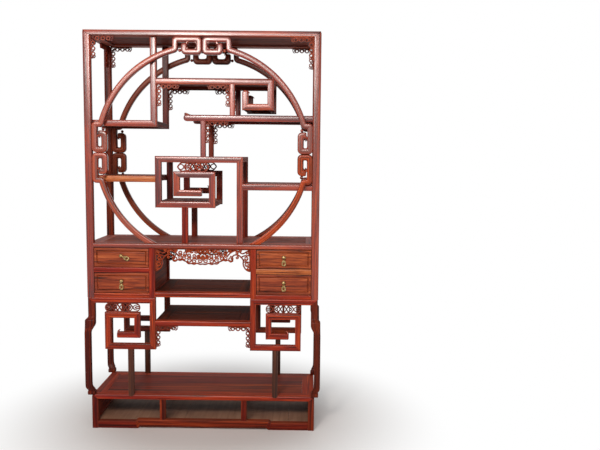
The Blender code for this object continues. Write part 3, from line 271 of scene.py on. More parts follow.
def rosewood(name, shades, streak, run, polish, gloss, worn):
    """Rosewood, planed along the grain and waxed: long dark streaks in red brown, fine open pores,
    and paler edges where hands have rubbed it. Streak is the width of its figure and run the length."""
    material, tree, shader = blank(name)
    grain = add(tree, "ShaderNodeAttribute", attribute_name="grain").outputs["Vector"]
    wear = add(tree, "ShaderNodeAttribute", attribute_name="wear").outputs["Fac"]
    sheen = add(tree, "ShaderNodeAttribute", attribute_name="sheen").outputs["Fac"]
    size = (1 / run, 1 / streak, 1 / streak)
    figure_at = add(tree, "ShaderNodeVectorMath", {0: grain}, {1: size}, operation="MULTIPLY")
    wild = {"Scale": 1.0, "Detail": 5.0, "Roughness": 0.62, "Distortion": 0.9}
    figure = add(tree, "ShaderNodeTexNoise", {"Vector": figure_at}, wild)
    stops = zip((0.33, 0.44, 0.55, 0.71), shades)
    colour = add(tree, "ShaderNodeValToRGB", {"Fac": figure}, stops=stops)

    # Each length of timber differs in tone, because its grain starts at a place of its own
    tone_at = add(tree, "ShaderNodeVectorMath", {0: grain}, {1: (0.5, 2.0, 2.0)}, operation="MULTIPLY")
    tone = add(tree, "ShaderNodeTexNoise", {"Vector": tone_at}, {"Scale": 1.0, "Detail": 1.0})
    depth = add(tree, "ShaderNodeMapRange", {"Value": tone}, dict(zip(RANGE, (0.36, 0.64, 0.84, 1.28))))
    hue = add(tree, "ShaderNodeMapRange", {"Value": tone}, dict(zip(RANGE, (0.36, 0.64, 0.496, 0.506))))
    toned = add(tree, "ShaderNodeHueSaturation", {"Color": colour, "Value": depth, "Hue": hue})

    # Fibres and pores 1.6 mm wide, three times as coarse as real ones so that they show
    fibre_at = add(tree, "ShaderNodeVectorMath", {0: grain}, {1: (22, 640, 640)}, operation="MULTIPLY")
    fibre = add(tree, "ShaderNodeTexNoise", {"Vector": fibre_at}, {"Scale": 1.0, "Detail": 3.0})
    pore = add(tree, "ShaderNodeMapRange", {"Value": fibre}, dict(zip(RANGE, (0.30, 0.46, 0.62, 1.0))))
    pored = add(tree, "ShaderNodeMix", {6: toned, 7: pore}, {0: 1.0}, **TIMES)

    # Rubbed edges come through as a paler, drier wood in patches
    patch = add(tree, "ShaderNodeTexNoise", {"Vector": grain}, {"Scale": 9.0, "Detail": 4.0})
    rubbed = add(tree, "ShaderNodeMath", {0: wear, 1: patch}, operation="MULTIPLY")
    amount = add(tree, "ShaderNodeMath", {0: rubbed}, {1: worn}, operation="MULTIPLY")
    dry = {7: linear("#b5714c")}
    rub = add(tree, "ShaderNodeMix", {0: amount, 6: pored.outputs[2]}, dry, data_type="RGBA")

    # Crowns take a polish that flat faces, which dust and use keep dull, have lost
    waxed = dict(zip(RANGE, (0.3, 0.7, polish + 0.10, polish - 0.04)))
    roughness = add(tree, "ShaderNodeMapRange", {"Value": fibre}, waxed)
    dulled = add(tree, "ShaderNodeMix", {0: sheen, 3: roughness}, {2: 0.78})
    bump = add(tree, "ShaderNodeBump", {"Height": fibre}, {"Strength": 0.06, "Distance": 0.0008})
    feed(tree, shader, {"Base Color": rub.outputs[2], "Roughness": dulled, "Normal": bump})
    coat = {"Coat Weight": gloss * 0.12, "Coat Roughness": 0.20}
    feed(tree, shader, values={"Specular IOR Level": gloss, **coat})
    return material


def raw_timber(name):
    """Unfinished softwood board, sawn and left bare: pale and dry, with darker stains in patches and growth
    lines 22 mm apart. It is painted lighter at the front and darker further back: painted light and shade.
    """
    material, tree, shader = blank(name)
    place = add(tree, "ShaderNodeTexCoord").outputs["Object"]
    line_at = add(tree, "ShaderNodeVectorMath", {0: place}, {1: (45, 3, 45)}, operation="MULTIPLY")
    sawn = {"Scale": 1.0, "Detail": 4.0, "Distortion": 0.5}
    line = add(tree, "ShaderNodeTexNoise", {"Vector": line_at}, sawn)
    stops = ((0.25, "#855e47"), (0.50, "#966f56"), (0.75, "#a47d63"))
    colour = add(tree, "ShaderNodeValToRGB", {"Fac": line}, stops=stops)
    patch = add(tree, "ShaderNodeTexNoise", {"Vector": place}, {"Scale": 7.0, "Detail": 5.0})
    stain = add(tree, "ShaderNodeMapRange", {"Value": patch}, dict(zip(RANGE, (0.35, 0.6, 0.7, 1.0))))
    stained = add(tree, "ShaderNodeMix", {6: colour, 7: stain}, {0: 1.0}, **TIMES)
    # Painted light and shade: the boards are painted lighter at the front and darker further in, as if lit
    # from the front and shaded inside the base
    depth = add(tree, "ShaderNodeSeparateXYZ", {0: place}).outputs["Y"]
    painted_light_and_shade = add(tree, "ShaderNodeMapRange", {"Value": depth}, dict(zip(RANGE, (-0.17, 0.04, 1.25, 0.50))))
    lit_and_shaded = add(tree, "ShaderNodeMix", {6: stained.outputs[2], 7: painted_light_and_shade}, {0: 1.0}, **TIMES)
    bump = add(tree, "ShaderNodeBump", {"Height": line}, {"Strength": 0.2, "Distance": 0.001})
    feed(tree, shader, {"Base Color": lit_and_shaded.outputs[2], "Normal": bump}, {"Roughness": 0.78})
    return material


def cast_brass(name):
    """Cast brass, filed and polished by hand: warm gold with brown tarnish in patches of 4 mm, and
    handling marks of about 1 mm."""
    material, tree, shader = blank(name)
    place = add(tree, "ShaderNodeTexCoord").outputs["Object"]
    tarnish = add(tree, "ShaderNodeTexNoise", {"Vector": place}, {"Scale": 260.0, "Detail": 5.0})
    stops = ((0.34, "#4b3620"), (0.48, "#8f7449"), (0.66, "#d2ba86"))
    colour = add(tree, "ShaderNodeValToRGB", {"Fac": tarnish}, stops=stops)
    roughness = add(tree, "ShaderNodeMapRange", {"Value": tarnish}, dict(zip(RANGE, (0.3, 0.7, 0.46, 0.20))))
    mark = add(tree, "ShaderNodeTexNoise", {"Vector": place}, {"Scale": 900.0, "Detail": 2.0})
    bump = add(tree, "ShaderNodeBump", {"Height": mark}, {"Strength": 0.1, "Distance": 0.0003})
    feed(tree, shader, {"Base Color": colour, "Roughness": roughness, "Normal": bump}, {"Metallic": 1.0})
    return material


MEMBER_SHADES = ("#380c06", "#661708", "#90280e", "#b34921")
LOWER_SHADES = ("#411107", "#751c0a", "#a43011", "#cb5726")
SHADED_LEG_COLOURS = ("#240905", "#461009", "#641b0c", "#813318")
SHADED_BACK_COLOURS = ("#2c0d07", "#54150d", "#772210", "#993e1e")
PALE_SHADES = ("#4e1d0d", "#914420", "#b15e32", "#c98656")
SHADED_POST_COLOURS = ("#1a0a06", "#33150c", "#4b2415", "#643822")
BOARD_SHADES = ("#2c0c06", "#56160b", "#7a2511", "#984121")
SHADED_NICHE_COLOURS = ("#1c0804", "#38100a", "#521b0f", "#6c301b")
FRONT_SHADES = ("#290e07", "#722912", "#97401f", "#b56036")
CARVED_SHADES = ("#3b0e08", "#6e1b0d", "#933018", "#b55330")
MEMBER = rosewood("waxed_rosewood_member", MEMBER_SHADES, 0.011, 0.45, 0.23, 0.60, 0.20)
LOWER = rosewood("red_rosewood_member", LOWER_SHADES, 0.011, 0.45, 0.22, 0.20, 0.20)
# A darker copy of the member finish for the legs: painted shade for the low corners
SHADED_LEG = rosewood("painted_shade_rosewood_leg", SHADED_LEG_COLOURS, 0.012, 0.45, 0.28, 0.13, 0.25)
# A darker copy of the member finish for the back members and the plinth: painted shade
SHADED_BACK = rosewood("painted_shade_rosewood_member", SHADED_BACK_COLOURS, 0.012, 0.45, 0.28, 0.13, 0.25)
PALE = rosewood("pale_rosewood_member", PALE_SHADES, 0.012, 0.20, 0.26, 0.25, 0.20)
# A darker copy of the member finish for the fret posts: painted shade
SHADED_POST = rosewood("painted_shade_rosewood_post", SHADED_POST_COLOURS, 0.010, 0.50, 0.40, 0.25, 0.15)
BOARD = rosewood("waxed_rosewood_board", BOARD_SHADES, 0.018, 0.60, 0.46, 0.20, 0.15)
# A darker copy of the board finish for the niche: painted shade
SHADED_NICHE = rosewood("painted_shade_rosewood_board", SHADED_NICHE_COLOURS, 0.018, 0.60, 0.46, 0.05, 0.15)
FRONT = rosewood("figured_rosewood_front", FRONT_SHADES, 0.011, 0.20, 0.42, 0.25, 0.30)
CARVED = rosewood("carved_rosewood", CARVED_SHADES, 0.009, 0.10, 0.34, 0.18, 0.28)
RAW = raw_timber("bare_softwood_board")
BRASS = cast_brass("hand_polished_brass")
# Back members take the darker copy of the finish: painted shade, for the light that falls off towards the
# back
FACED = {"front": MEMBER, "back": SHADED_BACK}
LOWER_FACED = {"front": LOWER, "back": SHADED_BACK}


# Making pieces


def placed(name, data):
    obj = bpy.data.objects.new(name, data)
    bpy.context.scene.collection.objects.link(obj)
    return obj


def settled(source):
    """The plain mesh of an object as its modifiers leave it. The object itself goes."""
    mesh = bpy.data.meshes.new_from_object(source.evaluated_get(bpy.context.evaluated_depsgraph_get()))
    bpy.data.objects.remove(source)
    return mesh


def reworked(mesh, change):
    shape = bmesh.new()
    shape.from_mesh(mesh)
    change(shape)
    shape.to_mesh(mesh)
    shape.free()
    return mesh


def fresh_timber():
    """A place of its own in the timber for each shell."""
    return Vector([DICE.uniform(0, TIMBER) for _ in range(3)])


class Work:
    """A piece in the making: closed shells, the place of each point in its timber, and its wear."""

    def __init__(self):
        self.points, self.faces, self.grain, self.wear, self.sheen = [], [], [], [], []

    def skin(self, rings, grain, wear, sheen=None):
        """Closes a shell over rings of points, and caps its two ends."""
        first = len(self.points)
        size = len(rings[0])
        shift = fresh_timber()
        for ring, places, worn in zip(rings, grain, wear):
            self.points += [tuple(p) for p in ring]
            self.grain += [tuple(Vector(p) + shift) for p in places]
            self.wear += worn
            self.sheen += sheen or [1.0] * size
        last = len(self.points) - size
        for a in range(first, last, size):
            for k in range(size):
                n = (k + 1) % size
                self.faces.append((a + k, a + n, a + size + n, a + size + k))
        self.faces.append(tuple(range(first + size - 1, first - 1, -1)))
        self.faces.append(tuple(range(last, last + size)))

    def absorb(self, mesh, place=AS_DRAWN):
        """Adds a finished mesh at a place, with the grain and wear that it carries."""
        first = len(self.points)
        shift = fresh_timber()
        grain = mesh.attributes.get("grain")
        wear = mesh.attributes.get("wear")
        self.points += [tuple(place @ v.co) for v in mesh.vertices]
        self.faces += [tuple(first + i for i in f.vertices) for f in mesh.polygons]
        self.sheen += [1.0] * len(mesh.vertices)
        for i, vertex in enumerate(mesh.vertices):
            self.grain.append(tuple((grain.data[i].vector if grain else vertex.co) + shift))
            self.wear.append(wear.data[i].value if wear else 0.0)

    def mesh(self, name, material):
        """The shells as one mesh."""
        mesh = bpy.data.meshes.new(name)
        mesh.from_pydata(self.points, [], self.faces)
        grain = [c for place in self.grain for c in place]
        mesh.attributes.new("grain", "FLOAT_VECTOR", "POINT").data.foreach_set("vector", grain)
        for label, values in (("wear", self.wear), ("sheen", self.sheen)):
            mesh.attributes.new(label, "FLOAT", "POINT").data.foreach_set("value", values)
        reworked(mesh, lambda shape: bmesh.ops.recalc_face_normals(shape, faces=shape.faces))
        mesh.materials.append(material)
        mesh.shade_smooth()
        mesh.set_sharp_from_angle(angle=SHARP)
        return mesh

    def make(self, name, material, *nodes, body="shelf"):
        """Turns the shells into one object that rides on a body and stands for its nodes."""
        obj = placed(name, self.mesh(name, material))
        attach(obj, body)
        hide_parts(*nodes)
        return obj


def around(centre, size):
    return (centre - size / 2, centre + size / 2)


def upright(x, y, low, high):
    return [(x, y, low), (x, y, high)]


def outward(face, crowns):
    """The crowns of a section's lower and higher side, the fuller one on the side that faces out."""
    return crowns if face < 0 else crowns[::-1]


def moulded(u, v, low, high, stops=(), polished=True):
    """A section with flattened crowns on its two u sides. Each point is u, v, wear and sheen."""
    points = []
    for sign, crown in ((1, high), (-1, low)):
        for i in range(CROWN_STEPS + 1):
            angle = math.pi * (i / CROWN_STEPS - 0.5)
            rise = math.copysign(abs(math.sin(angle)) ** CROWN_POWER, math.sin(angle))
            sink = 1 - abs(math.cos(angle)) ** CROWN_POWER
            worn = max(0.0, abs(rise) - 0.7) / 0.3
            sheen = 1.0 if polished and 0 < i < CROWN_STEPS else 0.0
            points.append((sign * (u / 2 - crown * sink), sign * v / 2 * rise, worn, sheen))
        points += [(stop, sign * v / 2, 0.0, 0.0) for stop in stops]
    return points


def cushion(u, v, power, count=28):
    """A square section whose four faces swell a little between rounded corners. Its u sides are polished."""
    points = []
    for i in range(count):
        angle = 2 * math.pi * (i + 0.5) / count
        c, s = math.cos(angle), math.sin(angle)
        worn = max(0.0, 1 - 3 * abs(abs(c) - abs(s)))
        sheen = 1.0 if abs(c) > abs(s) else 0.0
        a = math.copysign(abs(c) ** (2 / power), c)
        b = math.copysign(abs(s) ** (2 / power), s)
        points.append((u / 2 * a, v / 2 * b, worn, sheen))
    return points


def flat(u, v):
    """A board's section, with its arrises just taken off."""
    a, b = u / 2, v / 2
    c, d = a - ARRIS, b - ARRIS
    corners = ((a, -d), (a, d), (c, b), (-c, b), (-a, d), (-a, -d), (-c, -b), (c, -b))
    return [(x, y, 0.6, 0.0) for x, y in corners]


def half_turn(first, second, normal):
    """The tangent of half the turn from one direction to the next."""
    return math.tan(math.atan2(normal.dot(first.cross(second)), first.dot(second)) / 2)


def bar(work, path, section, normal=IN_FRONT, closed=False, edge=False, tip=None, trim=None, lean=0.0):
    """Straight members along a path, mitred where they meet. The section's u runs along the normal,
    or across the path with edge. Tip rounds the free end: its reach past the path, and the share of the
    width that is left at its end. Trim gives how far both ends stay back at a place of the section,
    and lean the slope of the first end."""
    path = [Vector(p) for p in path]
    count = len(path) if closed else len(path) - 1
    legs = [path[(i + 1) % len(path)] - path[i] for i in range(count)]
    ways = [leg.normalized() for leg in legs]
    sides = [(u, v) if edge else (v, u) for u, v, _, _ in section]
    worn = [w for _, _, w, _ in section]
    sheen = [s for _, _, _, s in section]
    for i, way in enumerate(ways):
        length = legs[i].length
        across = normal.cross(way)
        lean_in = half_turn(ways[i - 1], way, normal) if closed or i > 0 else lean
        lean_out = half_turn(way, ways[(i + 1) % count], normal) if closed or i + 1 < count else 0.0
        back = [trim(*place) if trim else -length for place in sides]
        starts = [max(side * lean_in, b) + JOINT for (side, _), b in zip(sides, back)]
        stops = [length - max(side * lean_out, b) - JOINT for (side, _), b in zip(sides, back)]
        stations = [(starts, 1.0, 1.0), (stops, 1.0, 1.0)]
        if tip and i + 1 == count:
            reach, left = tip
            for k in range(1, TIP_STEPS + 1):
                angle = math.pi / 2 * k / TIP_STEPS
                along = [length + reach * math.sin(angle)] * len(sides)
                narrow = left + (1 - left) * math.cos(angle)
                stations.append((along, narrow, 0.7 + 0.3 * narrow))
        grain = []
        for along, narrow, thin in stations:
            grain.append([(s, side * narrow, through * thin) for s, (side, through) in zip(along, sides)])
        rings = [[path[i] + way * s + across * a + normal * b for s, a, b in places] for places in grain]
        work.skin(rings, grain, [worn] * len(rings), sheen)


def member(name, finish, node, path, section):
    """One straight member as a piece of its own."""
    work = Work()
    bar(work, path, section)
    work.make(name, finish, node)


def mitre_top(work, count, x, y, rise):
    """Slopes the end of an upright, its last points, to meet two rails in a three-way mitre. Its spans
    x and y run from its inner faces to its outer ones."""
    for k in range(len(work.points) - count, len(work.points)):
        place = Vector(work.points[k])
        shares = [(abs(c) - low) / (high - low) for c, (low, high) in zip(place, (x, y))]
        place.z += rise * MITRE_SHARE * min(1.0, max(0.0, min(shares)))
        work.points[k] = tuple(place)


def board(work, x, y, z, along="X"):
    """A board between spans, with its grain along an axis."""
    spans = (x, y, z)
    axis = "XYZ".index(along)
    path = [[sum(s) / 2 for s in spans] for _ in range(2)]
    path[0][axis], path[1][axis] = min(spans[axis]), max(spans[axis])
    wide, deep, tall = (abs(s[1] - s[0]) for s in spans)
    section = {"X": (deep, tall), "Y": (wide, tall), "Z": (deep, wide)}[along]
    bar(work, path, flat(*section), LEVEL if along == "Y" else IN_FRONT, edge=along == "Y")


def planks(work, x, y, z):
    """Two boards side by side across the depth, with their grain along the width."""
    middle = sum(y) / 2
    board(work, x, (min(y), middle), z)
    board(work, x, (middle, max(y)), z)


def filleted(path, radius, steps=5):
    """A flat path with its corners rounded."""
    path = [Vector(p) for p in path]
    points = [path[0]]
    for before, place, after in zip(path, path[1:], path[2:]):
        into, out = place - before, after - place
        room = min(radius, into.length * 0.49, out.length * 0.49)
        start = place - into.normalized() * room
        stop = place + out.normalized() * room
        for i in range(steps + 1):
            t = i / steps
            points.append(start * (1 - t) ** 2 + place * 2 * t * (1 - t) + stop * t**2)
    return points + [path[-1]]


def bent(line, radius):
    """A line of points and shares of the full width, with its sharp corners rounded."""
    places = [Vector(p[:2]) for p in line]
    made = []
    for i, (x, y, share) in enumerate(line):
        turn = [(x, y)]
        if 0 < i < len(line) - 1:
            before, place, after = places[i - 1 : i + 2]
            if (place - before).angle(after - place) > SHARP_TURN:
                turn = filleted((before, place, after), radius)[1:-1]
        made += [(p[0], p[1], share) for p in turn]
    return (made, False)


def smooth(points, steps=4):
    """A flowing line through a few points."""
    points = [Vector(p) for p in points]
    padded = [2 * points[0] - points[1]] + points + [2 * points[-1] - points[-2]]
    line = []
    for a, b, c, d in zip(padded, padded[1:], padded[2:], padded[3:]):
        square, cube = 2 * a - 5 * b + 4 * c - d, 3 * b - a - 3 * c + d
        for i in range(steps):
            t = i / steps
            line.append(0.5 * (2 * b + (c - a) * t + square * t**2 + cube * t**3))
    return line + [points[-1]]


# Trees for what follows a line and for what repeats


def new_tree(name, sizes):
    """A tree that takes in lines, named sizes and a finish, and gives out a mesh."""
    tree = bpy.data.node_groups.new(name, "GeometryNodeTree")
    for label, kind in {"Lines": "Geometry", **sizes, "Finish": "Material"}.items():
        tree.interface.new_socket(label, in_out="INPUT", socket_type=f"NodeSocket{kind}")
    tree.interface.new_socket("Mesh", in_out="OUTPUT", socket_type="NodeSocketGeometry")
    return tree, add(tree, "NodeGroupInput").outputs


def end_tree(tree, shape, finish):
    real = add(tree, "GeometryNodeRealizeInstances", {"Geometry": shape})
    done = add(tree, "GeometryNodeSetMaterial", {"Geometry": real, "Material": finish})
    add(tree, "NodeGroupOutput", {"Mesh": done})
    return tree


def band_tree():
    """A rounded band along flat lines, with its grain along them."""
    sizes = {"Band": "Float", "Depth": "Float", "Roundness": "Float", "Sides": "Int"}
    tree, given = new_tree("rounded_band", sizes)
    circle = add(tree, "GeometryNodeCurvePrimitiveCircle", {"Resolution": given["Sides"]}, {"Radius": 1.0})
    where = add(tree, "GeometryNodeInputPosition")
    size = add(tree, "ShaderNodeVectorMath", {0: where}, operation="ABSOLUTE")
    swell = add(tree, "ShaderNodeCombineXYZ", {"X": given["Roundness"], "Y": given["Roundness"]}, {"Z": 1.0})
    power = add(tree, "ShaderNodeVectorMath", {0: size, 1: swell}, operation="POWER")
    sign = add(tree, "ShaderNodeVectorMath", {0: where}, operation="SIGN")
    squared = add(tree, "ShaderNodeVectorMath", {0: power, 1: sign}, operation="MULTIPLY")
    spans = add(tree, "ShaderNodeCombineXYZ", {"X": given["Band"], "Y": given["Depth"]})
    halves = add(tree, "ShaderNodeVectorMath", {0: spans}, {1: (0.5, 0.5, 0.5)}, operation="MULTIPLY")
    scaled = add(tree, "ShaderNodeVectorMath", {0: squared, 1: halves}, operation="MULTIPLY")
    section = add(tree, "GeometryNodeSetPosition", {"Geometry": circle, "Position": scaled})
    in_section = add(tree, "GeometryNodeCaptureAttribute", {"Geometry": section})
    in_section.capture_items.new("VECTOR", "Place")
    feed(tree, in_section, {"Place": where})
    along = add(tree, "GeometryNodeCaptureAttribute", {"Geometry": given["Lines"]})
    along.capture_items.new("FLOAT", "Run")
    feed(tree, along, {"Run": add(tree, "GeometryNodeSplineParameter").outputs["Length"]})
    share = add(tree, "GeometryNodeInputRadius")
    curves = {"Curve": along, "Profile Curve": in_section, "Scale": share}
    shape = add(tree, "GeometryNodeCurveToMesh", curves, {"Fill Caps": True})
    parts = add(tree, "ShaderNodeSeparateXYZ", {"Vector": in_section.outputs["Place"]}).outputs
    grain = add(tree, "ShaderNodeCombineXYZ", {"X": along.outputs["Run"], "Y": parts["X"], "Z": parts["Y"]})
    lift = add(tree, "ShaderNodeMath", {0: parts["Y"], 1: given["Depth"]}, operation="DIVIDE")
    crest = add(tree, "ShaderNodeMath", {0: lift}, operation="ABSOLUTE")
    wear = add(tree, "ShaderNodeMapRange", {"Value": crest}, {"From Min": 0.38, "From Max": 0.5})
    for name, kind, value in (("grain", "FLOAT_VECTOR", grain), ("wear", "FLOAT", wear)):
        kept = {"Geometry": shape, "Value": value}
        shape = add(tree, "GeometryNodeStoreNamedAttribute", kept, {"Name": name}, data_type=kind)
    return end_tree(tree, shape, given["Finish"])


def link_tree():
    """Copies of one carved link along lines, a little smaller and turned at each place."""
    sizes = {"Link": "Object", "Count": "Int", "End Size": "Float", "Turn": "Float", "Seed": "Int"}
    tree, given = new_tree("carved_links", sizes)
    spaced = add(tree, "GeometryNodeResampleCurve", {"Curve": given["Lines"], "Count": given["Count"]})
    along = add(tree, "GeometryNodeSplineParameter")
    size = add(tree, "ShaderNodeMapRange", {"Value": along, "To Max": given["End Size"]}, {"To Min": 1.0})
    least = add(tree, "ShaderNodeMath", {0: given["Turn"]}, {1: -1.0}, operation="MULTIPLY")
    limits = {2: least, 3: given["Turn"], "Seed": given["Seed"]}
    turn = add(tree, "FunctionNodeRandomValue", limits, data_type="FLOAT")
    about = add(tree, "ShaderNodeCombineXYZ", {"Z": turn.outputs[1]})
    link = add(tree, "GeometryNodeObjectInfo", {"Object": given["Link"]}).outputs["Geometry"]
    where = {"Points": spaced, "Instance": link, "Rotation": about, "Scale": size}
    return end_tree(tree, add(tree, "GeometryNodeInstanceOnPoints", where), given["Finish"])


BAND_TREE = band_tree()
LINK_TREE = link_tree()


def drawn(lines, **settings):
    """Flat lines as one curve. Each is its points, of x, y and share of the full width, and if it closes."""
    curve = bpy.data.curves.new("lines", "CURVE")
    for name, value in settings.items():
        setattr(curve, name, value)
    for points, closed in lines:
        spline = curve.splines.new("POLY")
        spline.points.add(len(points) - 1)
        for point, (x, y, share) in zip(spline.points, points):
            point.co = (x, y, 0.0, 1.0)
            point.radius = share
        spline.use_cyclic_u = closed
    return curve


def grown(tree, lines, **inputs):
    """The plain mesh that a tree grows along lines."""
    source = placed("grown", drawn(lines, dimensions="3D", twist_mode="Z_UP"))
    modifier = source.modifiers.new("grown", "NODES")
    modifier.node_group = tree
    for socket in tree.interface.items_tree:
        if socket.in_out == "INPUT" and socket.name in inputs:
            modifier[socket.identifier] = inputs[socket.name]
    return settled(source)


def bands(lines, band, depth, power, sides):
    """Carved bands along lines, as one mesh."""
    return grown(BAND_TREE, lines, Band=band, Depth=depth, Roundness=2 / power, Sides=sides, Finish=CARVED)


def even(points, closed=False):
    """A line of full width."""
    return ([(p[0], p[1], 1.0) for p in points], closed)


def tapered(points, tip, share):
    """A line that thins towards its last point."""
    line = []
    for i, p in enumerate(points):
        left = 1 - i / (len(points) - 1)
        line.append((p[0], p[1], tip + (1 - tip) * min(1.0, left / share)))
    return (line, False)


def hoop(middle, side, other, radius, count):
    """Points round a middle, in the plane of two directions."""
    angles = [2 * math.pi * i / count for i in range(count)]
    return [middle + (side * math.cos(a) + other * math.sin(a)) * radius for a in angles]


def loop(x, y, radius, count):
    """A closed round line."""
    return even(hoop(Vector((x, y)), ACROSS.xy, IN_FRONT.xy, radius, count), True)


def facing(y):
    """Lays a flat drawing into the plane of the front, at a depth."""
    return Matrix(((1, 0, 0, 0), (0, 0, -1, y), (0, 1, 0, 0), (0, 0, 0, 1)))


def sideways(x):
    """Lays a flat drawing into the plane of a side."""
    return Matrix(((0, 0, 1, x), (1, 0, 0, 0), (0, 1, 0, 0), (0, 0, 0, 1)))


# Posts and curved legs. A leg's rings are their height, and how far they stand out past the posts' faces

POST_SECTION = cushion(POST, SHOWN_POST, 5.0)
LEG_SECTION = cushion(2.0, 2.0, 6.0)
LEG_RINGS = [
    (0.0003, 0.0072, -0.0302), (0.0030, 0.0080, -0.0310), (0.0145, 0.0080, -0.0310),
    (0.0185, 0.0072, -0.0300), (0.0200, 0.0050, -0.0270), (0.0225, 0.0050, -0.0262),
    (0.0280, 0.0085, -0.0250), (0.0340, 0.0125, -0.0214), (0.0410, 0.0150, -0.0178),
    (0.0500, 0.0158, -0.0158), (0.0700, 0.0160, -0.0150), (0.2000, 0.0160, -0.0150),
    (0.3200, 0.0156, -0.0150), (0.3280, 0.0153, -0.0158), (0.3360, 0.0150, -0.0190),
    (0.3460, 0.0148, -0.0250), (0.3560, 0.0146, -0.0306), (0.3640, 0.0145, -0.0334),
    (0.3700, 0.0144, -0.0340), (0.3860, 0.0142, -0.0340), (0.3890, 0.0130, -0.0340),
    (0.3960, 0.0060, -0.0340), (0.4015, 0.0010, -0.0340), (0.4045, 0.0000, -0.0340),
    (0.5018, 0.0000, -0.0340),
]


def corner(side_name, face_name):
    side, face = SIDES[side_name], FACES[face_name]
    place = f"{face_name}_{side_name}"
    work = Work()
    x = side * (HALF_W - POST / 2 + POST_SHIFT)
    bar(work, upright(x, face * POST_Y, LEG_TOP, TOP_UNDER), POST_SECTION)
    mitre_top(work, len(POST_SECTION), (INNER_X, HALF_W), (INNER_Y, HALF_D), HEIGHT - TOP_UNDER)
    work.make(f"moulded_post_{place}", FACED[face_name], f"corner_post_{place}")
    work = Work()
    rings = []
    grain = []
    for rise, outer, inner in LEG_RINGS:
        middle = (outer + inner) / 2
        half = (outer - inner) / 2
        slope = RAIL / POST if rise == LEG_RINGS[-1][0] else 0.0
        ring = []
        for a, b, _, _ in LEG_SECTION:
            x = HALF_W + middle + half * a
            z = BASE_TOP + rise - slope * (HALF_W - x)
            ring.append((side * x, face * (HALF_D + middle) + half * b, z))
        rings.append(ring)
        grain.append([(rise, half * a, half * b) for a, b, _, _ in LEG_SECTION])
    wear = [w for _, _, w, _ in LEG_SECTION]
    front = [1.0 - s for _, _, _, s in LEG_SECTION]
    work.skin(rings, grain, [wear] * len(rings), front)
    # The legs take the darker copy of the finish: painted shade
    work.make(f"swelled_leg_{place}", SHADED_LEG, f"curved_leg_{place}")


for side_name in SIDES:
    for face_name in FACES:
        corner(side_name, face_name)


# Framed tops


def rectangle(x, y, z):
    return [(-x, -y, z), (x, -y, z), (x, y, z), (-x, y, z)]


def top_boards(name, half_w, top, node):
    work = Work()
    x, y = half_w - FRAME_RAIL, HALF_D - FRAME_RAIL
    planks(work, (-x, x), (-y, y), (top - PANEL, top - GAP))
    work.make(f"{name}_boards", BOARD, f"{node}_panel")


def framed_top(name, finish, half_w, low, high, crown, sink, corner, node):
    """Mitred rails round a panel. Corner is the width of the uprights that are mitred into it."""
    work = Work()
    thickness = high - low
    section = moulded(FRAME_RAIL, thickness, crown, INSIDE_CROWN)
    path = rectangle(half_w - FRAME_RAIL / 2, HALF_D - FRAME_RAIL / 2, (low + high) / 2)

    def trim(side, through):
        return corner * (0.5 - through / thickness) - FRAME_RAIL / 2

    bar(work, path, section, LEVEL, closed=True, edge=True, trim=trim)
    work.make(f"{name}_rails", finish, f"{node}_frame")
    top_boards(name, half_w, high - sink, node)


def main_shelf():
    """Its rails run between the posts, and their mitres start at the posts' inner corners."""
    work = Work()
    lap = POST - FRAME_RAIL / 2
    section = moulded(FRAME_RAIL, MAIN_TOP - CASE_TOP, MAIN_CROWN, INSIDE_CROWN, stops=(lap,))
    path = [Vector(p) for p in rectangle(INNER_X, INNER_Y, (CASE_TOP + MAIN_TOP) / 2)]
    for a, b in zip(path, path[1:] + path[:1]):
        out = (b - a).normalized().cross(LEVEL) * lap
        bar(work, [a + out, b + out], section, LEVEL, edge=True, trim=lambda side, _: max(0.0, side - lap))
    work.make("main_shelf_rails", MEMBER, "main_shelf_frame")
    top_boards("main_shelf", HALF_W, MAIN_TOP, "main_shelf")


framed_top("top", MEMBER, HALF_W, TOP_UNDER, HEIGHT, TOP_CROWN, TOP_SINK, POST, "top")
framed_top("base", LOWER, BASE_HALF_W, BASE_UNDER, BASE_TOP, BASE_TOP_CROWN, 0.0, BASE_STILE, "base_top")
main_shelf()


# Moon rings with their square scrolls. A scroll is its half length, its height and the width of its bar


def scroll(half, height, width):
    """One of two mirrored scrolls, from the ring in: to the frame, round its eye and up to its end."""
    b = width / 2
    near = half - width - SCROLL_SLOT
    share = width / CREST_BAR
    corners = ((half - b, b - 0.001), (b, b - 0.001), (b, height - b), (near - b, height - b))
    line = [(u, v, share) for u, v in corners]
    for above, left in ((0.013, 1.0), (0.008, 0.96), (0.005, 0.84), (0.003, 0.60)):
        line.append((near - b, width + above, left * share))
    return line


def eye(half, height, width):
    """The rounded rim of a scroll's opening, and the small hook that turns into it."""
    near = half - width - SCROLL_SLOT
    u0, u1 = width - 0.004, near - width + 0.004
    v0, v1 = width - 0.005, height - width + 0.004
    whole = [(u0, v0), (u1, v0), (u1, v1), (u0, v1)]
    rim = filleted(whole + whole[:2], 0.018)[1:-1]
    hook = smooth([(near - 0.6 * width, v0 + 0.012), (u1 - 0.004, v0 + 0.010), (u1 - 0.011, v0 + 0.014)])
    return rim, tapered(hook, 0.4, 0.9)[0]


def cut_level(obj, z):
    """Cuts a piece flat at a height, where it stands on a shelf."""

    def cut_and_fill(shape):
        whole = shape.verts[:] + shape.edges[:] + shape.faces[:]
        cut = bmesh.ops.bisect_plane(shape, geom=whole, plane_co=(0, 0, z), plane_no=LEVEL, clear_inner=True)
        edges = [e for e in cut["geom_cut"] if isinstance(e, bmesh.types.BMEdge)]
        bmesh.ops.holes_fill(shape, edges=edges)

    reworked(obj.data, cut_and_fill)


def round_bead(shape):
    bmesh.ops.create_uvsphere(shape, u_segments=16, v_segments=10, radius=BEAD)


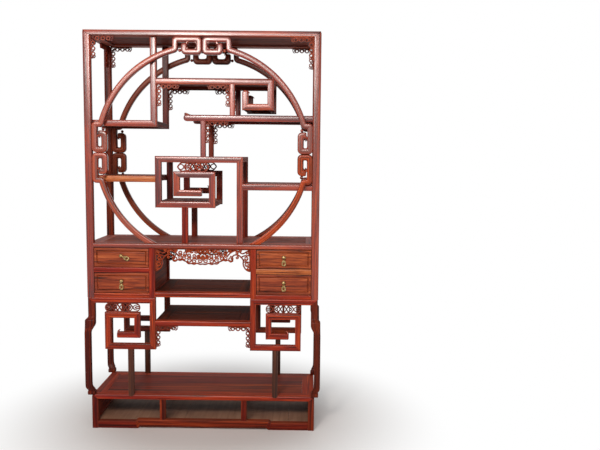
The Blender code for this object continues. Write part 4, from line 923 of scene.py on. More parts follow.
def moon_gate(face_name):
    """Four arcs, each of which turns into the scrolls at its ends, as one bent member."""
    node = f"moon_gate_{face_name}"
    y = FACES[face_name] * POST_Y
    flank_angle = math.asin((FLANK[0] - FLANK[2] / 2) / MOON_RADIUS)
    crest_angle = math.acos((CREST[0] - CREST[2] / 2) / MOON_RADIUS)
    foot_angle = math.asin((MOON_Z - MAIN_TOP) / MOON_RADIUS) + FOOT_TUCK
    members = {}
    rims = []
    hooks = []
    beads = []

    def open_eye(size, at):
        rim, hook = eye(*size)
        rims.append(even([at(u, v) for u, v in rim], True))
        hooks.append(([(*at(u, v), share) for u, v, share in hook], False))
        half, height, width = size
        beads.append(at(half - width - SCROLL_SLOT / 2, height - 0.021))

    for side in SIDES.values():

        def crest_at(u, v):
            return (side * u, TOP_UNDER - v)

        for up in (-1, 1):

            def flank_at(u, v):
                return (side * (INNER_X - v), MOON_Z + up * u)

            line = [(*flank_at(u, v), share) for u, v, share in reversed(scroll(*FLANK))]
            stop = crest_angle if up > 0 else foot_angle
            for i in range(ARC_STEPS + 1):
                angle = flank_angle + (stop - flank_angle) * i / ARC_STEPS
                rise = MOON_RADIUS * math.sin(angle)
                line.append((side * MOON_RADIUS * math.cos(angle), MOON_Z + up * rise, RING_SHARE))
            if up > 0:
                line += [(*crest_at(u, v), share) for u, v, share in scroll(*CREST)]
            members[side, up] = bent(line, SCROLL_BEND)
            open_eye(FLANK, flank_at)
        open_eye(CREST, crest_at)
    for (side, up), line in members.items():
        work = Work()
        work.absorb(bands([line], *ARC_BAND), facing(y))
        place = f"{face_name}_{'upper' if up > 0 else 'lower'}_{'right' if side > 0 else 'left'}"
        finish = (LOWER_FACED if (side, up) == REDDER_ARC else FACED)[face_name]
        arc = work.make(f"moon_arc_{place}", finish, node)
        if up < 0:
            cut_level(arc, MAIN_TOP)
    work = Work()
    work.absorb(bands(rims, *RIM_BAND), facing(y))
    work.absorb(bands(hooks, *HOOK_BAND), facing(y))
    bead = reworked(bpy.data.meshes.new("bead"), round_bead)
    for x, z in beads:
        work.absorb(bead, Matrix.Translation((x, y, z)))
    work.make(f"scroll_eyes_{face_name}", FACED[face_name], node)


for face_name in FACES:
    moon_gate(face_name)


# Shelves between the moon rings


def shelf_piece(name, path, rails, boards, tip=None, horns=(), finish=MEMBER, flange=None):
    """Mitred members at front and back, with rails and boards between them."""
    for face_name, face in FACES.items():
        work = Work()
        section = moulded(RAIL, SHOWN_RAIL, *outward(face, CROWNS))
        bar(work, [(x, face * BAR_Y, z) for x, z in path], section, tip=tip)
        if horns:
            work.absorb(bands(horns, *HORN_BAND), facing(face * BAR_Y))
        # Back members take the darker copy of the finish: painted shade
        work.make(f"{name}_{face_name}_members", finish if face < 0 else SHADED_BACK, name)
    work = Work()
    section = moulded(RAIL, RAIL, CROSS_CROWN, CROSS_CROWN, polished=False)
    for x, z in rails:
        bar(work, [(x, -SHELF_IN, z), (x, SHELF_IN, z)], section, LEVEL, edge=True)
    for x, top in boards:
        planks(work, x, (-SHELF_IN, SHELF_IN), (top - PANEL, top - SEAM))
    if flange:
        flange(work)
    work.make(f"{name}_boards", BOARD, name)


def horn(x, z, side):
    """The small upturned horn at the free end of an inner bar, in the plane of the front."""
    points = ((0.012, 0.012), (0.0062, 0.025), (0.0066, 0.034), (0.0140, 0.0405))
    return tapered(smooth([(x - side * u, z + v) for u, v in points]), 0.25, 0.7)


def beak(x, z):
    """The same horn on an upright end, where it hooks over to the right."""
    points = ((-0.004, 0.016), (0.002, 0.0085), (0.012, 0.0075), (0.0215, 0.0150))
    return tapered(smooth([(x + u, z - v) for u, v in points]), 0.20, 0.7)


def altar_flange(work):
    """The boards' free end, which turns up in a soft lip."""
    lip = [
        (FLANGE, -SEAM), (0.036, 0.0006), (0.024, 0.0042), (0.014, 0.0098), (0.007, 0.0132), (0.002, 0.0124),
        (0.000, 0.0060), (0.003, -0.0050), (0.014, -0.0120), (0.030, -0.0140), (FLANGE, -PANEL),
    ]
    edge = smooth(lip)
    ends = ((-SHELF_IN, 0.96), (0.001 - SHELF_IN, 1.0), (SHELF_IN - 0.001, 1.0), (SHELF_IN, 0.96))
    rings = [[(ALTAR_END_X + p[0], y, ALTAR_TOP + p[1] * s) for p in edge] for y, s in ends]
    grain = [[(y, p[0], p[1]) for p in edge] for y, _ in ends]
    work.skin(rings, grain, [[1.0 if p[1] > 0.008 else 0.1 for p in edge]] * len(ends))


BOX_LINE = [
    (-SIDE_X, BOX_TOP - HALF),
    (HANGING_X - HALF, BOX_TOP - HALF),
    (HANGING_X - HALF, TOP_UNDER),
]
HOOK_LINE = [
    (HANGING_X, UPPER_TOP - HALF),
    (HOOK_RIGHT - HALF, UPPER_TOP - HALF),
    (HOOK_RIGHT - HALF, HOOK_UNDER + HALF),
    (HOOK_LEFT + HALF, HOOK_UNDER + HALF),
    (HOOK_LEFT + HALF, HOOK_TIP - HALF),
]
SPIRAL_LINE = [
    (SPIRAL_RIGHT - HALF, MAIN_TOP),
    (SPIRAL_RIGHT - HALF, SPIRAL_TOP - HALF),
    (SPIRAL_LEFT + HALF, SPIRAL_TOP - HALF),
    (SPIRAL_LEFT + HALF, SPIRAL_UNDER + HALF),
    (SPIRAL_TURN_X - HALF, SPIRAL_UNDER + HALF),
    (SPIRAL_TURN_X - HALF, SPIRAL_TURN - HALF),
    (SPIRAL_INNER_X + HALF, SPIRAL_TURN - HALF),
    (SPIRAL_INNER_X + HALF, SPIRAL_INNER + HALF),
    (SPIRAL_END_X - BLUNT[0], SPIRAL_INNER + HALF),
]
ALTAR_LINE = [(SIDE_X, ALTAR_TOP - HALF), (ALTAR_END_X + FINGER[0], ALTAR_TOP - HALF)]
shelf_piece(
    "corner_box",
    BOX_LINE,
    [(HALF - SIDE_X, BOX_TOP - HALF), BOX_LINE[1]],
    [((RAIL - SIDE_X, HANGING_X - RAIL), BOX_TOP)],
)
shelf_piece(
    "upper_shelf",
    HOOK_LINE,
    [(HANGING_X + HALF, UPPER_TOP - HALF)] + HOOK_LINE[1:4],
    [
        ((HANGING_X + RAIL, HOOK_RIGHT - RAIL), UPPER_TOP),
        ((HOOK_LEFT + RAIL, HOOK_RIGHT - RAIL), HOOK_UNDER + RAIL),
    ],
    tip=FINGER,
    horns=[beak(HOOK_LEFT + HALF, HOOK_TIP)],
)
shelf_piece(
    "spiral_shelf",
    SPIRAL_LINE,
    SPIRAL_LINE[1:5],
    [
        ((SPIRAL_LEFT + RAIL, SPIRAL_RIGHT - RAIL), SPIRAL_TOP),
        ((SPIRAL_LEFT + RAIL, SPIRAL_TURN_X - RAIL), SPIRAL_UNDER + RAIL),
    ],
    tip=BLUNT,
    horns=[horn(SPIRAL_END_X, SPIRAL_INNER, 1)],
)
for name, side, inner_x, top, finish in (
    ("left_shelf", -1, SPIRAL_LEFT, LEFT_TOP, PALE),
    ("right_shelf", 1, SPIRAL_RIGHT, RIGHT_TOP, MEMBER),
):
    path = [(side * SIDE_X, top - HALF), (inner_x, top - HALF)]
    rails = [(side * (SIDE_X - HALF), top - HALF), (inner_x + side * HALF, top - HALF)]
    boards = [((side * (SIDE_X - RAIL), inner_x + side * RAIL), top)]
    shelf_piece(name, path, rails, boards, finish=finish)
shelf_piece(
    "altar_shelf",
    ALTAR_LINE,
    [(SIDE_X - HALF, ALTAR_TOP - HALF)],
    [((ALTAR_END_X + FLANGE, SIDE_X - RAIL), ALTAR_TOP)],
    tip=FINGER,
    flange=altar_flange,
)

for face_name, face in FACES.items():
    for label, finish, x, width, low, high in (
        ("upper_divider", FACED, UPPER_DIVIDER_X, SHOWN_DIVIDER, ALTAR_TOP, UPPER_TOP - RAIL),
        ("lower_divider", FACED, LOWER_DIVIDER_X, SHOWN_DIVIDER, SPIRAL_TOP, ALTAR_TOP - RAIL),
        ("spiral_post", LOWER_FACED, SPIRAL_POST_X, SPIRAL_POST, MAIN_TOP, SPIRAL_UNDER),
    ):
        name = f"{label}_{face_name}"
        section = moulded(RAIL, width, UPRIGHT_CROWN, UPRIGHT_CROWN)
        member(f"moulded_{name}", finish[face_name], name, upright(x, face * BAR_Y, low, high), section)


# Drawer cases


def drawer_case(side_name):
    side = SIDES[side_name]
    node = f"drawer_case_{side_name}"
    wall = (side * STILE_X, side * (STILE_X + CASE_WALL))
    bay = (side * STILE_OUT, side * INNER_X)
    outer = (side * (SIDE_X - CASE_SIDE), side * SIDE_X)
    deep = (FRET_DEPTH - HALF_D, HALF_D - FRET_DEPTH)
    back = (HALF_D - CASE_BACK, HALF_D)
    work = Work()
    for face in FACES.values():
        section = moulded(FRET_DEPTH, STILE, *outward(face, CROWNS))
        bar(work, upright(side * (STILE_X + STILE / 2), face * FRET_Y, LEG_TOP, CASE_TOP), section)
    middle_rail = Work()
    for rail, (low, high) in zip((work, middle_rail), CASE_FLOORS):
        bar(rail, [(x, -FRET_Y, (low + high) / 2) for x in bay], moulded(FRET_DEPTH, high - low, *CROWNS))
    middle_rail.make(f"case_middle_rail_{side_name}", PALE if side > 0 else LOWER, node)
    low_rail, high_rail = (LEG_TOP, LOWER_FLOOR + CASE_RIM), (CASE_TOP - RAIL, CASE_TOP)
    for z in (low_rail, high_rail):
        board(work, bay, back, z)
        board(work, wall, deep, z, "Y")
        board(work, outer, (-INNER_Y, INNER_Y), z, "Y")
    between = (low_rail[1], high_rail[0])
    for face in FACES.values():
        board(work, outer, (face * SHELF_IN, face * INNER_Y), between, "Z")
    board(work, (side * (INNER_X - RAIL), side * INNER_X), back, between, "Z")
    work.make(f"case_members_{side_name}", LOWER, node)
    work = Work()
    tall = (LEG_TOP, CASE_TOP)
    board(work, (wall[1], bay[0]), deep, tall, "Y")
    board(work, (bay[1], outer[0]), (-INNER_Y, INNER_Y), tall, "Y")
    board(work, bay, (POCKET_BACK, back[0]), tall)
    for z in CASE_FLOORS:
        board(work, bay, (deep[0], POCKET_BACK), z)
    work.make(f"case_panels_{side_name}", BOARD, node)


for side_name in SIDES:
    drawer_case(side_name)


# Centre shelves of the niche

for label, top in CENTRE_TOPS.items():
    node = f"centre_shelf_{label}"
    for face_name, face in FACES.items():
        path = [(x, face * POST_Y, top - CENTRE_SHELF / 2) for x in (-STILE_X, STILE_X)]
        section = moulded(POST, CENTRE_SHELF, *outward(face, CENTRE_CROWNS))
        member(f"centre_rail_{label}_{face_name}", LOWER_FACED[face_name], node, path, section)
    work = Work()
    wide = STILE_X - FRAME_RAIL
    for side in SIDES.values():
        board(work, (side * wide, side * STILE_X), (-INNER_Y, INNER_Y), (top - CENTRE_SHELF, top), "Y")
    planks(work, (-wide, wide), (-INNER_Y, INNER_Y), (top - PANEL, top - SEAM))
    # The niche boards take the darker copy of the board finish: painted shade under the main shelf
    work.make(f"centre_boards_{label}", SHADED_NICHE, node)


# Carved spacers, brackets and aprons. Vines and leaves are shares of a spacer's half length and height

SPACER_VINE = (
    (0.02, 0.95), (0.13, 0.30), (0.26, -0.50), (0.40, -0.86), (0.54, -0.30), (0.68, 0.44), (0.86, 0.62),
)
SPACER_LEAVES = (((0.40, 0.30), (0.31, 0.52), (0.24, 0.86)), ((0.72, 0.06), (0.83, 0.22), (0.95, 0.20)))


def spacer_lines(length, height, upright):
    """A long medallion: a rim with pointed or round ends, and two vines that cross along it."""
    half, high = length / 2 - 0.003, height / 2 - 0.003
    end = ((0.95, 0.62), (1.0, 0.0), (0.95, -0.62)) if upright else ((1.0, 0.12), (1.0, -0.12))
    rim = [(0.30, 1.0), (0.80, 1.0), *end, (0.80, -1.0), (0.30, -1.0)]
    whole = [(u * half, v * high) for u, v in rim + [(-u, v) for u, v in reversed(rim)]]
    lines = [even(filleted(whole + whole[:2], 0.010)[1:-1], True)]
    for s in (-1, 1):
        for t in (-1, 1):
            vine = smooth([(s * u * half, t * v * high) for u, v in SPACER_VINE], 5)
            lines.append(tapered(vine, 0.6, 0.3))
            for leaf in SPACER_LEAVES if upright else ():
                lines.append(even(smooth([(s * u * half, t * v * high) for u, v in leaf])))
        lines.append(loop(s * 0.40 * half, 0.0, 0.26 * high, 12))
    if upright:
        lines += [even([(x, -high), (x, high)]) for x in (-0.0026, 0.0026)]
    return lines


def carve_spacer(name, length, height, upright, x, y, z, node):
    work = Work()
    carving = bands(spacer_lines(length, height, upright), *(FRET_SPACER_BAND if upright else SPACER_BAND))
    work.absorb(carving, Matrix.Translation((x, 0, z)) @ facing(y))
    work.make(name, CARVED, node)


for face_name, face in FACES.items():
    low, high = SPIRAL_TURN, SPIRAL_TOP - RAIL
    place = (SPIRAL_SPACER_X, face * BAR_Y, (low + high) / 2)
    carve_spacer(f"spiral_spacer_{face_name}", SPIRAL_SPACER, high - low, False, *place, "spiral_shelf")

FRET_LINE = [
    (HALF_W - POST / 2, LEG_TOP - HALF),
    (STILE_X + HALF, LEG_TOP - HALF),
    (STILE_X + HALF, FRET_UNDER + HALF),
    (FRET_OUTER_X - HALF, FRET_UNDER + HALF),
    (FRET_OUTER_X - HALF, FRET_TOP - HALF),
    (FRET_INNER_X + HALF, FRET_TOP - HALF),
    (FRET_INNER_X + HALF, FRET_INNER + HALF),
    (FRET_END_X - BLUNT[0], FRET_INNER + HALF),
]


def lower_fret(side_name, face_name):
    side, face = SIDES[side_name], FACES[face_name]
    place = f"{face_name}_{side_name}"
    node = f"lower_fret_{place}"
    y = face * FRET_Y
    path = [(side * x, y, z) for x, z in FRET_LINE]
    section = moulded(FRET_DEPTH, SHOWN_FRET, *outward(face, CROWNS))
    work = Work()
    bar(work, path, section, tip=BLUNT, lean=-side * POST / SHOWN_FRET)
    work.absorb(bands([horn(side * FRET_END_X, FRET_INNER, side)], *FRET_HORN_BAND), facing(y))
    work.make(f"fret_members_{place}", LOWER_FACED[face_name], node)
    path = upright(side * FRET_POST_X, y, BASE_TOP - SCRIBED, FRET_UNDER)
    section = moulded(FRET_DEPTH, FRET_POST, UPRIGHT_CROWN, UPRIGHT_CROWN)
    # The fret post takes the darker copy of the finish: painted shade
    member(f"moulded_fret_post_{place}", SHADED_POST, f"fret_post_{place}", path, section)
    middle = (side * (FRET_OUTER_X + FRET_INNER_X) / 2, y, (LEG_TOP - RAIL + FRET_TOP) / 2)
    carve_spacer(f"fret_spacer_{place}", FRET_SPACER, FRET_CARVING, True, *middle, node)


for side_name in SIDES:
    for face_name in FACES:
        lower_fret(side_name, face_name)


def bracket_mesh():
    """An L of carved rings under a thin rail, with crossed stems between them and a curl at each end."""
    work = Work()
    rail, middle = BRACKET_RAIL, BRACKET_MIDDLE
    link = placed("carved_link", bands([loop(0.0, 0.0, 0.0084, 14)], *LINK_BAND))
    arms = [even([(0.0350, -middle), (0.0890, -middle)]), even([(middle, -0.0350), (middle, -0.0870)])]
    inputs = {"Link": link, "Count": 3, "End Size": 0.92, "Turn": 0.3, "Seed": 4, "Finish": CARVED}
    work.absorb(grown(LINK_TREE, arms, **inputs))
    bpy.data.objects.remove(link)
    rails = [
        even([(0.0, -rail), (BRACKET_REACH - 0.003, -rail)]),
        even([(rail, 0.0), (rail, -BRACKET_DROP + 0.003)]),
    ]
    work.absorb(bands(rails, *EDGE_BAND))
    curl = [(0.0960, 0.0200), (0.1030, 0.0225), (0.1085, 0.0180), (0.1110, 0.0110), (0.1125, 0.0040)]
    lines = [
        even([(0.002, -0.002), (0.0235, -0.0235)]),
        even([(0.0060, -0.0200), (0.0200, -0.0060)]),
        even(smooth([(u, -v) for u, v in curl])),
        even(smooth([(v, -u * 0.965) for u, v in curl])),
    ]
    for u in (0.0210, 0.0490, 0.0760, 0.1010):
        for lean in (-1, 1):
            top, foot = u - lean * 0.0065, u + lean * 0.0062
            lines.append(even([(top, -rail), (foot, -0.0190)]))
            lines.append(even([(rail, -top), (0.0190, -foot)]))
    work.absorb(bands(lines, *STEM_BAND))
    return work.mesh("carved_bracket", CARVED)


BRACKET = bracket_mesh()


def bracket(name, u, v, to_u, plane, node):
    """One bracket in a plane, from its corner towards one side."""
    work = Work()
    work.absorb(BRACKET, plane @ Matrix.Translation((u, v, 0)) @ Matrix.Diagonal((to_u, 1, 1, 1)))
    work.make(name, CARVED, node)


for side_name, side in SIDES.items():
    for face_name, face in FACES.items():
        place = f"{face_name}_{side_name}"
        plane = facing(face * POST_Y)
        bracket(f"top_bracket_{place}", side * INNER_X, TOP_UNDER, -side, plane, "top_frame")
        plane = sideways(side * (HALF_W - POST / 2))
        bracket(f"side_bracket_{place}", face * INNER_Y, TOP_UNDER, -face, plane, "top_frame")
        plane = facing(face * FRET_Y)
        under = CENTRE_TOPS["lower"] - CENTRE_SHELF
        bracket(f"niche_bracket_{place}", side * STILE_X, under, -side, plane, "centre_shelf_lower")
for face_name, face in FACES.items():
    plane = facing(face * BAR_Y)
    under = UPPER_TOP - RAIL
    bracket(f"upper_bracket_{face_name}_left", HANGING_X, under, 1, plane, "upper_shelf")
    right = UPPER_DIVIDER_X - DIVIDER / 2
    bracket(f"upper_bracket_{face_name}_right", right, under, -1, plane, "upper_shelf")
    left = LOWER_DIVIDER_X + DIVIDER / 2
    bracket(f"altar_bracket_{face_name}", left, ALTAR_TOP - RAIL, 1, plane, "altar_shelf")


def volute(x, y, radius, start, turns, way):
    """A scroll that winds in to its eye."""
    count = int(14 * turns) + 4
    points = []
    for i in range(count + 1):
        t = i / count
        angle = math.radians(start) + way * 2 * math.pi * turns * t
        r = radius * (1 - 0.78 * t)
        points.append((x + r * math.cos(angle), y + r * math.sin(angle)))
    return points


# One half of the apron, from its middle line and down from its top
APRON_VINES = [
    [(0.150, 0.060), (0.148, 0.042), (0.160, 0.031), (0.178, 0.032), (0.194, 0.044), (0.204, 0.058)],
    [(0.204, 0.058), (0.203, 0.078), (0.210, 0.096), (0.222, 0.108), (0.236, 0.114)],
    [
        (0.124, 0.036), (0.140, 0.020), (0.160, 0.010), (0.180, 0.014), (0.200, 0.024), (0.220, 0.014),
        (0.238, 0.004),
    ],
    [(0.000, 0.020), (0.014, 0.032), (0.030, 0.050)],
    [
        (0.000, 0.078), (0.014, 0.080), (0.029, 0.075), (0.044, 0.080), (0.058, 0.076), (0.072, 0.077),
        (0.084, 0.066),
    ],
    [
        (0.084, 0.066), (0.094, 0.062), (0.104, 0.058), (0.114, 0.061), (0.127, 0.058), (0.140, 0.066),
        (0.152, 0.060),
    ],
    [(0.196, 0.040), (0.212, 0.034), (0.226, 0.034), (0.238, 0.028)],
    [(0.204, 0.066), (0.220, 0.066), (0.238, 0.068)],
]
# Each volute: its eye, its radius, the angle at which it starts, its turns and the way it winds
APRON_VOLUTES = [
    (0.015, 0.063, 0.0135, 30, 1.4, 1), (0.043, 0.064, 0.0140, 150, 1.4, -1),
    (0.070, 0.061, 0.0135, 30, 1.4, 1), (0.094, 0.049, 0.0120, 150, 1.4, -1),
    (0.115, 0.047, 0.0125, 30, 1.4, 1), (0.139, 0.052, 0.0140, 100, 1.5, -1),
    (0.000, 0.044, 0.0085, 90, 1.2, 1), (0.020, 0.040, 0.0105, 200, 1.4, 1),
    (0.044, 0.039, 0.0115, 320, 1.4, -1), (0.068, 0.036, 0.0115, 210, 1.4, 1),
    (0.090, 0.026, 0.0115, 330, 1.4, -1), (0.112, 0.022, 0.0115, 220, 1.4, 1),
    (0.012, 0.014, 0.0100, 60, 1.3, -1), (0.034, 0.015, 0.0110, 120, 1.4, 1),
    (0.056, 0.014, 0.0105, 40, 1.4, -1), (0.076, 0.012, 0.0090, 130, 1.3, 1),
    (0.134, 0.010, 0.0080, 50, 1.3, -1), (0.170, 0.021, 0.0075, 270, 1.2, 1),
    (0.172, 0.044, 0.0075, 90, 1.2, -1), (0.190, 0.008, 0.0065, 140, 1.2, 1),
    (0.217, 0.048, 0.0120, 200, 1.4, 1), (0.222, 0.078, 0.0130, 20, 1.5, -1),
    (0.229, 0.098, 0.0090, 190, 1.3, 1), (0.226, 0.020, 0.0080, 250, 1.3, -1),
]


def apron(face_name):
    top, end = CASE_TOP - GAP, STILE_X - GAP
    thick = []
    thin = []
    for s in (-1, 1):
        for vine in APRON_VINES:
            thick.append(even(smooth([(s * u, top - v) for u, v in vine], 5)))
        for u, v, *winding in APRON_VOLUTES:
            thin.append(tapered([(s * x, top + z) for x, z in volute(u, -v, *winding)], 0.55, 0.5))
        thick.append(even([(s * (end - 0.003), top), (s * (end - 0.003), top - 0.115)]))
    thick.append(even([(-end, top - 0.003), (end, top - 0.003)]))
    thin += [loop(0.0, top - 0.050, 0.0075, 12), loop(0.0, top - 0.016, 0.0065, 12)]
    work = Work()
    plane = facing(FACES[face_name] * POST_Y)
    work.absorb(bands(thick, *VINE_BAND), plane)
    work.absorb(bands(thin, *VOLUTE_BAND), plane)
    work.make(f"pierced_apron_{face_name}", CARVED, f"carved_apron_{face_name}")


for face_name in FACES:
    apron(face_name)


# Base


def humped(reach, hump_reach):
    """The middle line of a bottom rail that steps up between its ends."""
    low = BASE_RAIL / 2
    high = low + HUMP
    inner, outer = around(hump_reach, HUMP_SLOPE)
    return [(-reach, low), (-outer, low), (-inner, high), (inner, high), (outer, low), (reach, low)]


def base():
    work = Work()
    inner_x, inner_y = BASE_HALF_W - BASE_STILE, HALF_D - BASE_FACE
    for face in FACES.values():
        y = face * (HALF_D - BASE_FACE / 2)
        low, high = outward(face, BASE_CROWNS)
        for side in SIDES.values():
            section = moulded(BASE_FACE, BASE_STILE, low, high)
            bar(work, upright(side * (BASE_HALF_W - BASE_STILE / 2), y, 0.0, BASE_UNDER), section)
            spans = ((inner_x, BASE_HALF_W), (inner_y, HALF_D))
            mitre_top(work, len(section), *spans, BASE_TOP - BASE_UNDER)
            section = moulded(BASE_FACE, BASE_DIVIDER, low * 1.5, high * 1.5)
            bar(work, upright(side * BASE_DIVIDER_X, y, BASE_RAIL + HUMP, BASE_UNDER), section)
        section = moulded(BASE_FACE, BASE_RAIL, low, high)
        bar(work, [(x, y, z) for x, z in humped(inner_x, HUMP_X)], section)
    for side in SIDES.values():
        x = side * (BASE_HALF_W - BASE_WALL / 2)
        section = moulded(BASE_WALL, BASE_RAIL, *outward(side, BASE_CROWNS))
        bar(work, [(x, y, z) for y, z in humped(inner_y, HALF_D / 2)], section, ACROSS)
        board(work, around(x, BASE_WALL * 0.8), (-inner_y, inner_y), (BASE_RAIL * 0.9, BASE_UNDER), "Y")
    # The plinth takes the darker copy of the member finish: painted shade
    work.make("plinth_members", SHADED_BACK, "base_plinth")
    work = Work()
    reach = BASE_HALF_W - BASE_WALL
    for a, b in zip((-reach, *BASE_SEAMS), (*BASE_SEAMS, reach)):
        board(work, (a + SEAM, b - SEAM), (-inner_y, inner_y), BASE_BOARD, "Y")
    work.make("bottom_boards", RAW, "base_bottom_board")


base()


# Drawers and their brass pulls. A front's profile is how far in from its edge and how far back it lies

FRONT_PROFILE = [
    (0.0000, DRAWER_FRONT), (0.0000, 0.0016), (0.0005, 0.0005), (0.0016, 0.0000),
    (BORDER - 0.0012, 0.0000), (BORDER - 0.0002, 0.0005), (BORDER + 0.0003, 0.0040),
    (BORDER + 0.0010, 0.0054), (BORDER + 0.0026, 0.0054), (BORDER + 0.0032, 0.0036),
    (BORDER + 0.0042, 0.0024), (BORDER + 0.0052, 0.0034), (BORDER + 0.0060, 0.0018),
    (BORDER + 0.0080, 0.0007), (BORDER + 0.0110, 0.0002), (BORDER + 0.0150, 0.0000),
]
FRONT_ARRISES = (0.0005, 0.0018)


def drawer_front(place, x, z):
    """A front worked from one board: a flat border, a sunk bead and a raised field."""
    rings = []
    for inset, sink in FRONT_PROFILE:
        (x0, x1), (z0, z1) = ((low + inset, high - inset) for low, high in (x, z))
        rings.append([(a, DRAWER_FACE_Y + sink, b) for a, b in ((x0, z0), (x1, z0), (x1, z1), (x0, z1))])
    grain = [[(a, b, depth) for a, depth, b in ring] for ring in rings]
    wear = [[1.0 if sink in FRONT_ARRISES else 0.1] * 4 for _, sink in FRONT_PROFILE]
    work = Work()
    work.skin(rings, grain, wear)
    work.make(f"beaded_front_{place}", FRONT, f"drawer_front_{place}", body=f"drawer_{place}")


# The knob's radius and height, from its crown down to its stem
KNOB = [
    (0.0026, 0.0128), (0.0050, 0.0121), (0.0072, 0.0108), (0.0088, 0.0090), (0.0098, 0.0068),
    (0.0098, 0.0054), (0.0090, 0.0042), (0.0072, 0.0036), (0.0050, 0.0032), (0.0046, 0.0024),
    (0.0078, 0.0019), (0.0086, 0.0012), (0.0084, 0.0004), (0.0078, 0.0001), (0.0042, 0.0000),
    (0.0040, -0.0060),
]
DROP_EDGE = [
    (0.0, -1.0), (0.30, -0.965), (0.66, -0.93), (0.92, -0.80), (1.0, -0.64), (0.90, -0.47), (0.97, -0.32),
    (0.84, -0.19), (0.60, -0.11), (0.56, -0.04),
]


def spun(work, hoops, place):
    """Closes a brass shell over hoops, at the place of a pull."""
    rings = [[place @ p for p in ring] for ring in hoops]
    work.skin(rings, rings, [[0.0] * len(rings[0])] * len(rings))


def rod(work, start, end, radius, place, count=12):
    """A short round rod between two places of a pull."""
    start, end = Vector(start), Vector(end)
    way = (end - start).normalized()
    side = way.orthogonal().normalized()
    lip = way * radius * 0.3
    stations = ((start, 0.7), (start + lip, 1.0), (end - lip, 1.0), (end, 0.7))
    spun(work, [hoop(at, side, way.cross(side), radius * share, count) for at, share in stations], place)


def drop_mesh():
    """A pierced drop with a lobed edge, cast as a thin plate with soft edges."""
    edge = smooth([(DROP_HALF * u, DROP_LONG * v) for u, v in DROP_EDGE])
    outline = edge + [Vector((-p[0], p[1])) for p in reversed(edge[1:])]
    window = []
    for i in range(20):
        angle = 2 * math.pi * i / 20
        lobe = 1 + 0.14 * math.cos(4 * angle)
        u, v = 0.40 * lobe * math.cos(angle), 0.23 * lobe * math.sin(angle) - 0.56
        window.append((DROP_HALF * u, DROP_LONG * v))
    eyes = [loop(s * 0.60 * DROP_HALF, -0.27 * DROP_LONG, 0.0011, 10) for s in (-1, 1)]
    plate = {"dimensions": "2D", "fill_mode": "BOTH", "extrude": 0.0010}
    soft = {"bevel_depth": 0.0005, "bevel_resolution": 2, "offset": -0.0005}
    mesh = settled(placed("drop", drawn([even(outline, True), even(window, True)] + eyes, **plate, **soft)))
    return reworked(mesh, lambda shape: bmesh.ops.remove_doubles(shape, verts=shape.verts, dist=1e-6))


DROP = drop_mesh()


def pull(place, where):
    work = Work()
    spun(work, [hoop(Vector((0, -height, 0)), ACROSS, LEVEL, radius, 24) for radius, height in KNOB], where)
    rod(work, (0, -PIN_OUT, -STEM_TOP), (0, -PIN_OUT, -KNOB_DROP), STEM_RADIUS, where)
    rod(work, (-PIN_HALF, -PIN_OUT, -KNOB_DROP), (PIN_HALF, -PIN_OUT, -KNOB_DROP), PIN_RADIUS, where)
    work.make(f"brass_knob_{place}", BRASS, f"pull_stud_{place}", body=f"drawer_{place}")
    pin = where @ Matrix.Translation((0, -PIN_OUT, -KNOB_DROP))
    work = Work()
    work.absorb(DROP, pin @ facing(0.0))
    for s in (-1, 1):
        rod(work, *[(s * x, 0, 0) for x in COLLAR], COLLAR_RADIUS, pin, 16)
    work.make(f"brass_drop_{place}", BRASS, f"pull_drop_{place}", body=f"pull_{place}")


for side_name, side in SIDES.items():
    for level, low, high in (("upper", UPPER_FLOOR, CASE_TOP), ("lower", LOWER_FLOOR, MIDDLE_RAIL)):
        place = f"{level}_{side_name}"
        near, far = sorted((side * STILE_OUT, side * INNER_X))
        x = (near + DRAWER_PLAY, far - DRAWER_PLAY)
        drawer_front(place, x, (low + DRAWER_PLAY, high - DRAWER_PLAY))
        knob = Vector(((near + far) / 2, DRAWER_FACE_Y, (low + high) / 2 + KNOB_RISE))
        turn = UPPER_LEFT_TURN if place == "upper_left" else 0.0
        pull(place, Matrix.Translation(knob) @ Matrix.Rotation(-turn, 4, "Y"))
        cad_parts[f"drawer_box_{place}"].material_slots[0].material = RAW


# Floor, light and camera. Each lamp: its place, the height it is aimed at, its size, power and colour

FLOOR_HALF = 9.0
FLOOR_Z = -0.0006
WHITE = (1, 1, 1, 1)
AMBIENT = 0.13
LAMPS = {
    "key": ((-0.50, -3.2, 2.40), 1.3, (0.46, 0.46), 36.0, "#fff4ee"),
    "wide": ((-0.52, -3.3, 2.31), 1.3, (2.6, 0.46), 62.0, "#fff4ee"),
    "fill": ((1.8, -3.2, 1.1), 0.7, (1.8, 1.8), 8.0, "#fff6f0"),
    "back": ((0.6, 3.1, 3.4), 0.9, (2.0, 0.9), 22.0, "#fff4ee"),
}
EYE_PLACE = (0.5162, -3.6073, 1.3914)
EYE_YAW = 0.0087
EYE_PITCH = -0.0975
EYE_ROLL = -0.0102
EYE_LENS = 41.4
EYE_SENSOR = 36.0


def seen_rays(tree):
    """One where a surface is seen by the eye, in a reflection or through glass, and nought elsewhere."""
    ray = add(tree, "ShaderNodeLightPath").outputs
    straight = {0: ray["Is Camera Ray"], 1: ray["Is Glossy Ray"]}
    first = add(tree, "ShaderNodeMath", straight, operation="MAXIMUM")
    return add(tree, "ShaderNodeMath", {0: first, 1: ray["Is Transmission Ray"]}, operation="MAXIMUM")


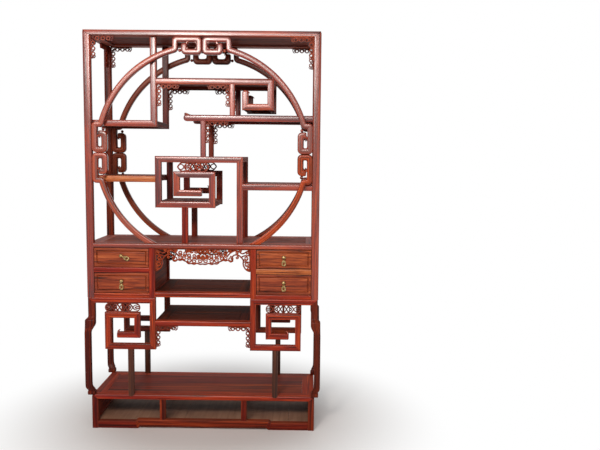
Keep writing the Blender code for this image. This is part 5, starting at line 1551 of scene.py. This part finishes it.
def pale_floor():
    """A matt painted floor that fades to plain white away from the shelf."""
    mesh = bpy.data.meshes.new("floor")
    mesh.from_pydata(rectangle(FLOOR_HALF, FLOOR_HALF, 0.0), [], [(0, 1, 2, 3)])
    floor = placed("floor", mesh)
    floor.location.z = FLOOR_Z
    material, tree, shader = blank("matt_white_floor")
    feed(tree, shader, values={"Roughness": 0.9, "Base Color": linear("#eeedeb")})
    place = add(tree, "ShaderNodeTexCoord").outputs["Object"]
    far = add(tree, "ShaderNodeVectorMath", {0: place}, operation="LENGTH").outputs["Value"]
    near = {"From Min": 0.35, "From Max": 1.30}
    fade = add(tree, "ShaderNodeMapRange", {"Value": far}, near, interpolation_type="SMOOTHSTEP")
    share = add(tree, "ShaderNodeMath", {0: fade, 1: seen_rays(tree)}, operation="MULTIPLY")
    white = add(tree, "ShaderNodeEmission", None, {"Color": WHITE, "Strength": 1.0})
    mix = add(tree, "ShaderNodeMixShader", {0: share, 1: shader, 2: white})
    feed(tree, tree.nodes["Material Output"], {"Surface": mix})
    mesh.materials.append(material)


def soft_box(name, place, aim, size, power, shade):
    lamp = bpy.data.lights.new(name, "AREA")
    lamp.shape = "RECTANGLE"
    lamp.size, lamp.size_y = size
    lamp.energy = power
    lamp.color = linear(shade)[:3]
    obj = placed(name, lamp)
    obj.location = place
    obj.rotation_euler = (LEVEL * aim - Vector(place)).to_track_quat("-Z", "Y").to_euler()


def studio():
    """White all round to the eye and in reflections, with little light of its own, and soft lamps."""
    world = bpy.data.worlds.new("studio")
    bpy.context.scene.world = world
    world.use_nodes = True
    tree = world.node_tree
    level = {"To Min": AMBIENT, "To Max": 1.0}
    strength = add(tree, "ShaderNodeMapRange", {"Value": seen_rays(tree)}, level)
    feed(tree, tree.nodes["Background"], {"Strength": strength}, {"Color": WHITE})
    for name, lamp in LAMPS.items():
        soft_box(name, *lamp)


def photo_camera():
    """The photograph's own view: a little right of the shelf, at chest height, looking slightly down."""
    data = bpy.data.cameras.new("camera")
    data.sensor_width = EYE_SENSOR
    data.lens = EYE_LENS
    camera = placed("camera", data)
    aimed = Matrix.Rotation(EYE_YAW, 4, "Z") @ Matrix.Rotation(EYE_PITCH, 4, "X")
    rolled = aimed @ Matrix.Rotation(EYE_ROLL, 4, "Y") @ Matrix.Rotation(math.pi / 2, 4, "X")
    camera.matrix_world = Matrix.Translation(EYE_PLACE) @ rolled
    bpy.context.scene.camera = camera


pale_floor()
studio()
photo_camera()
bpy.context.scene.view_settings.view_transform = "Standard"
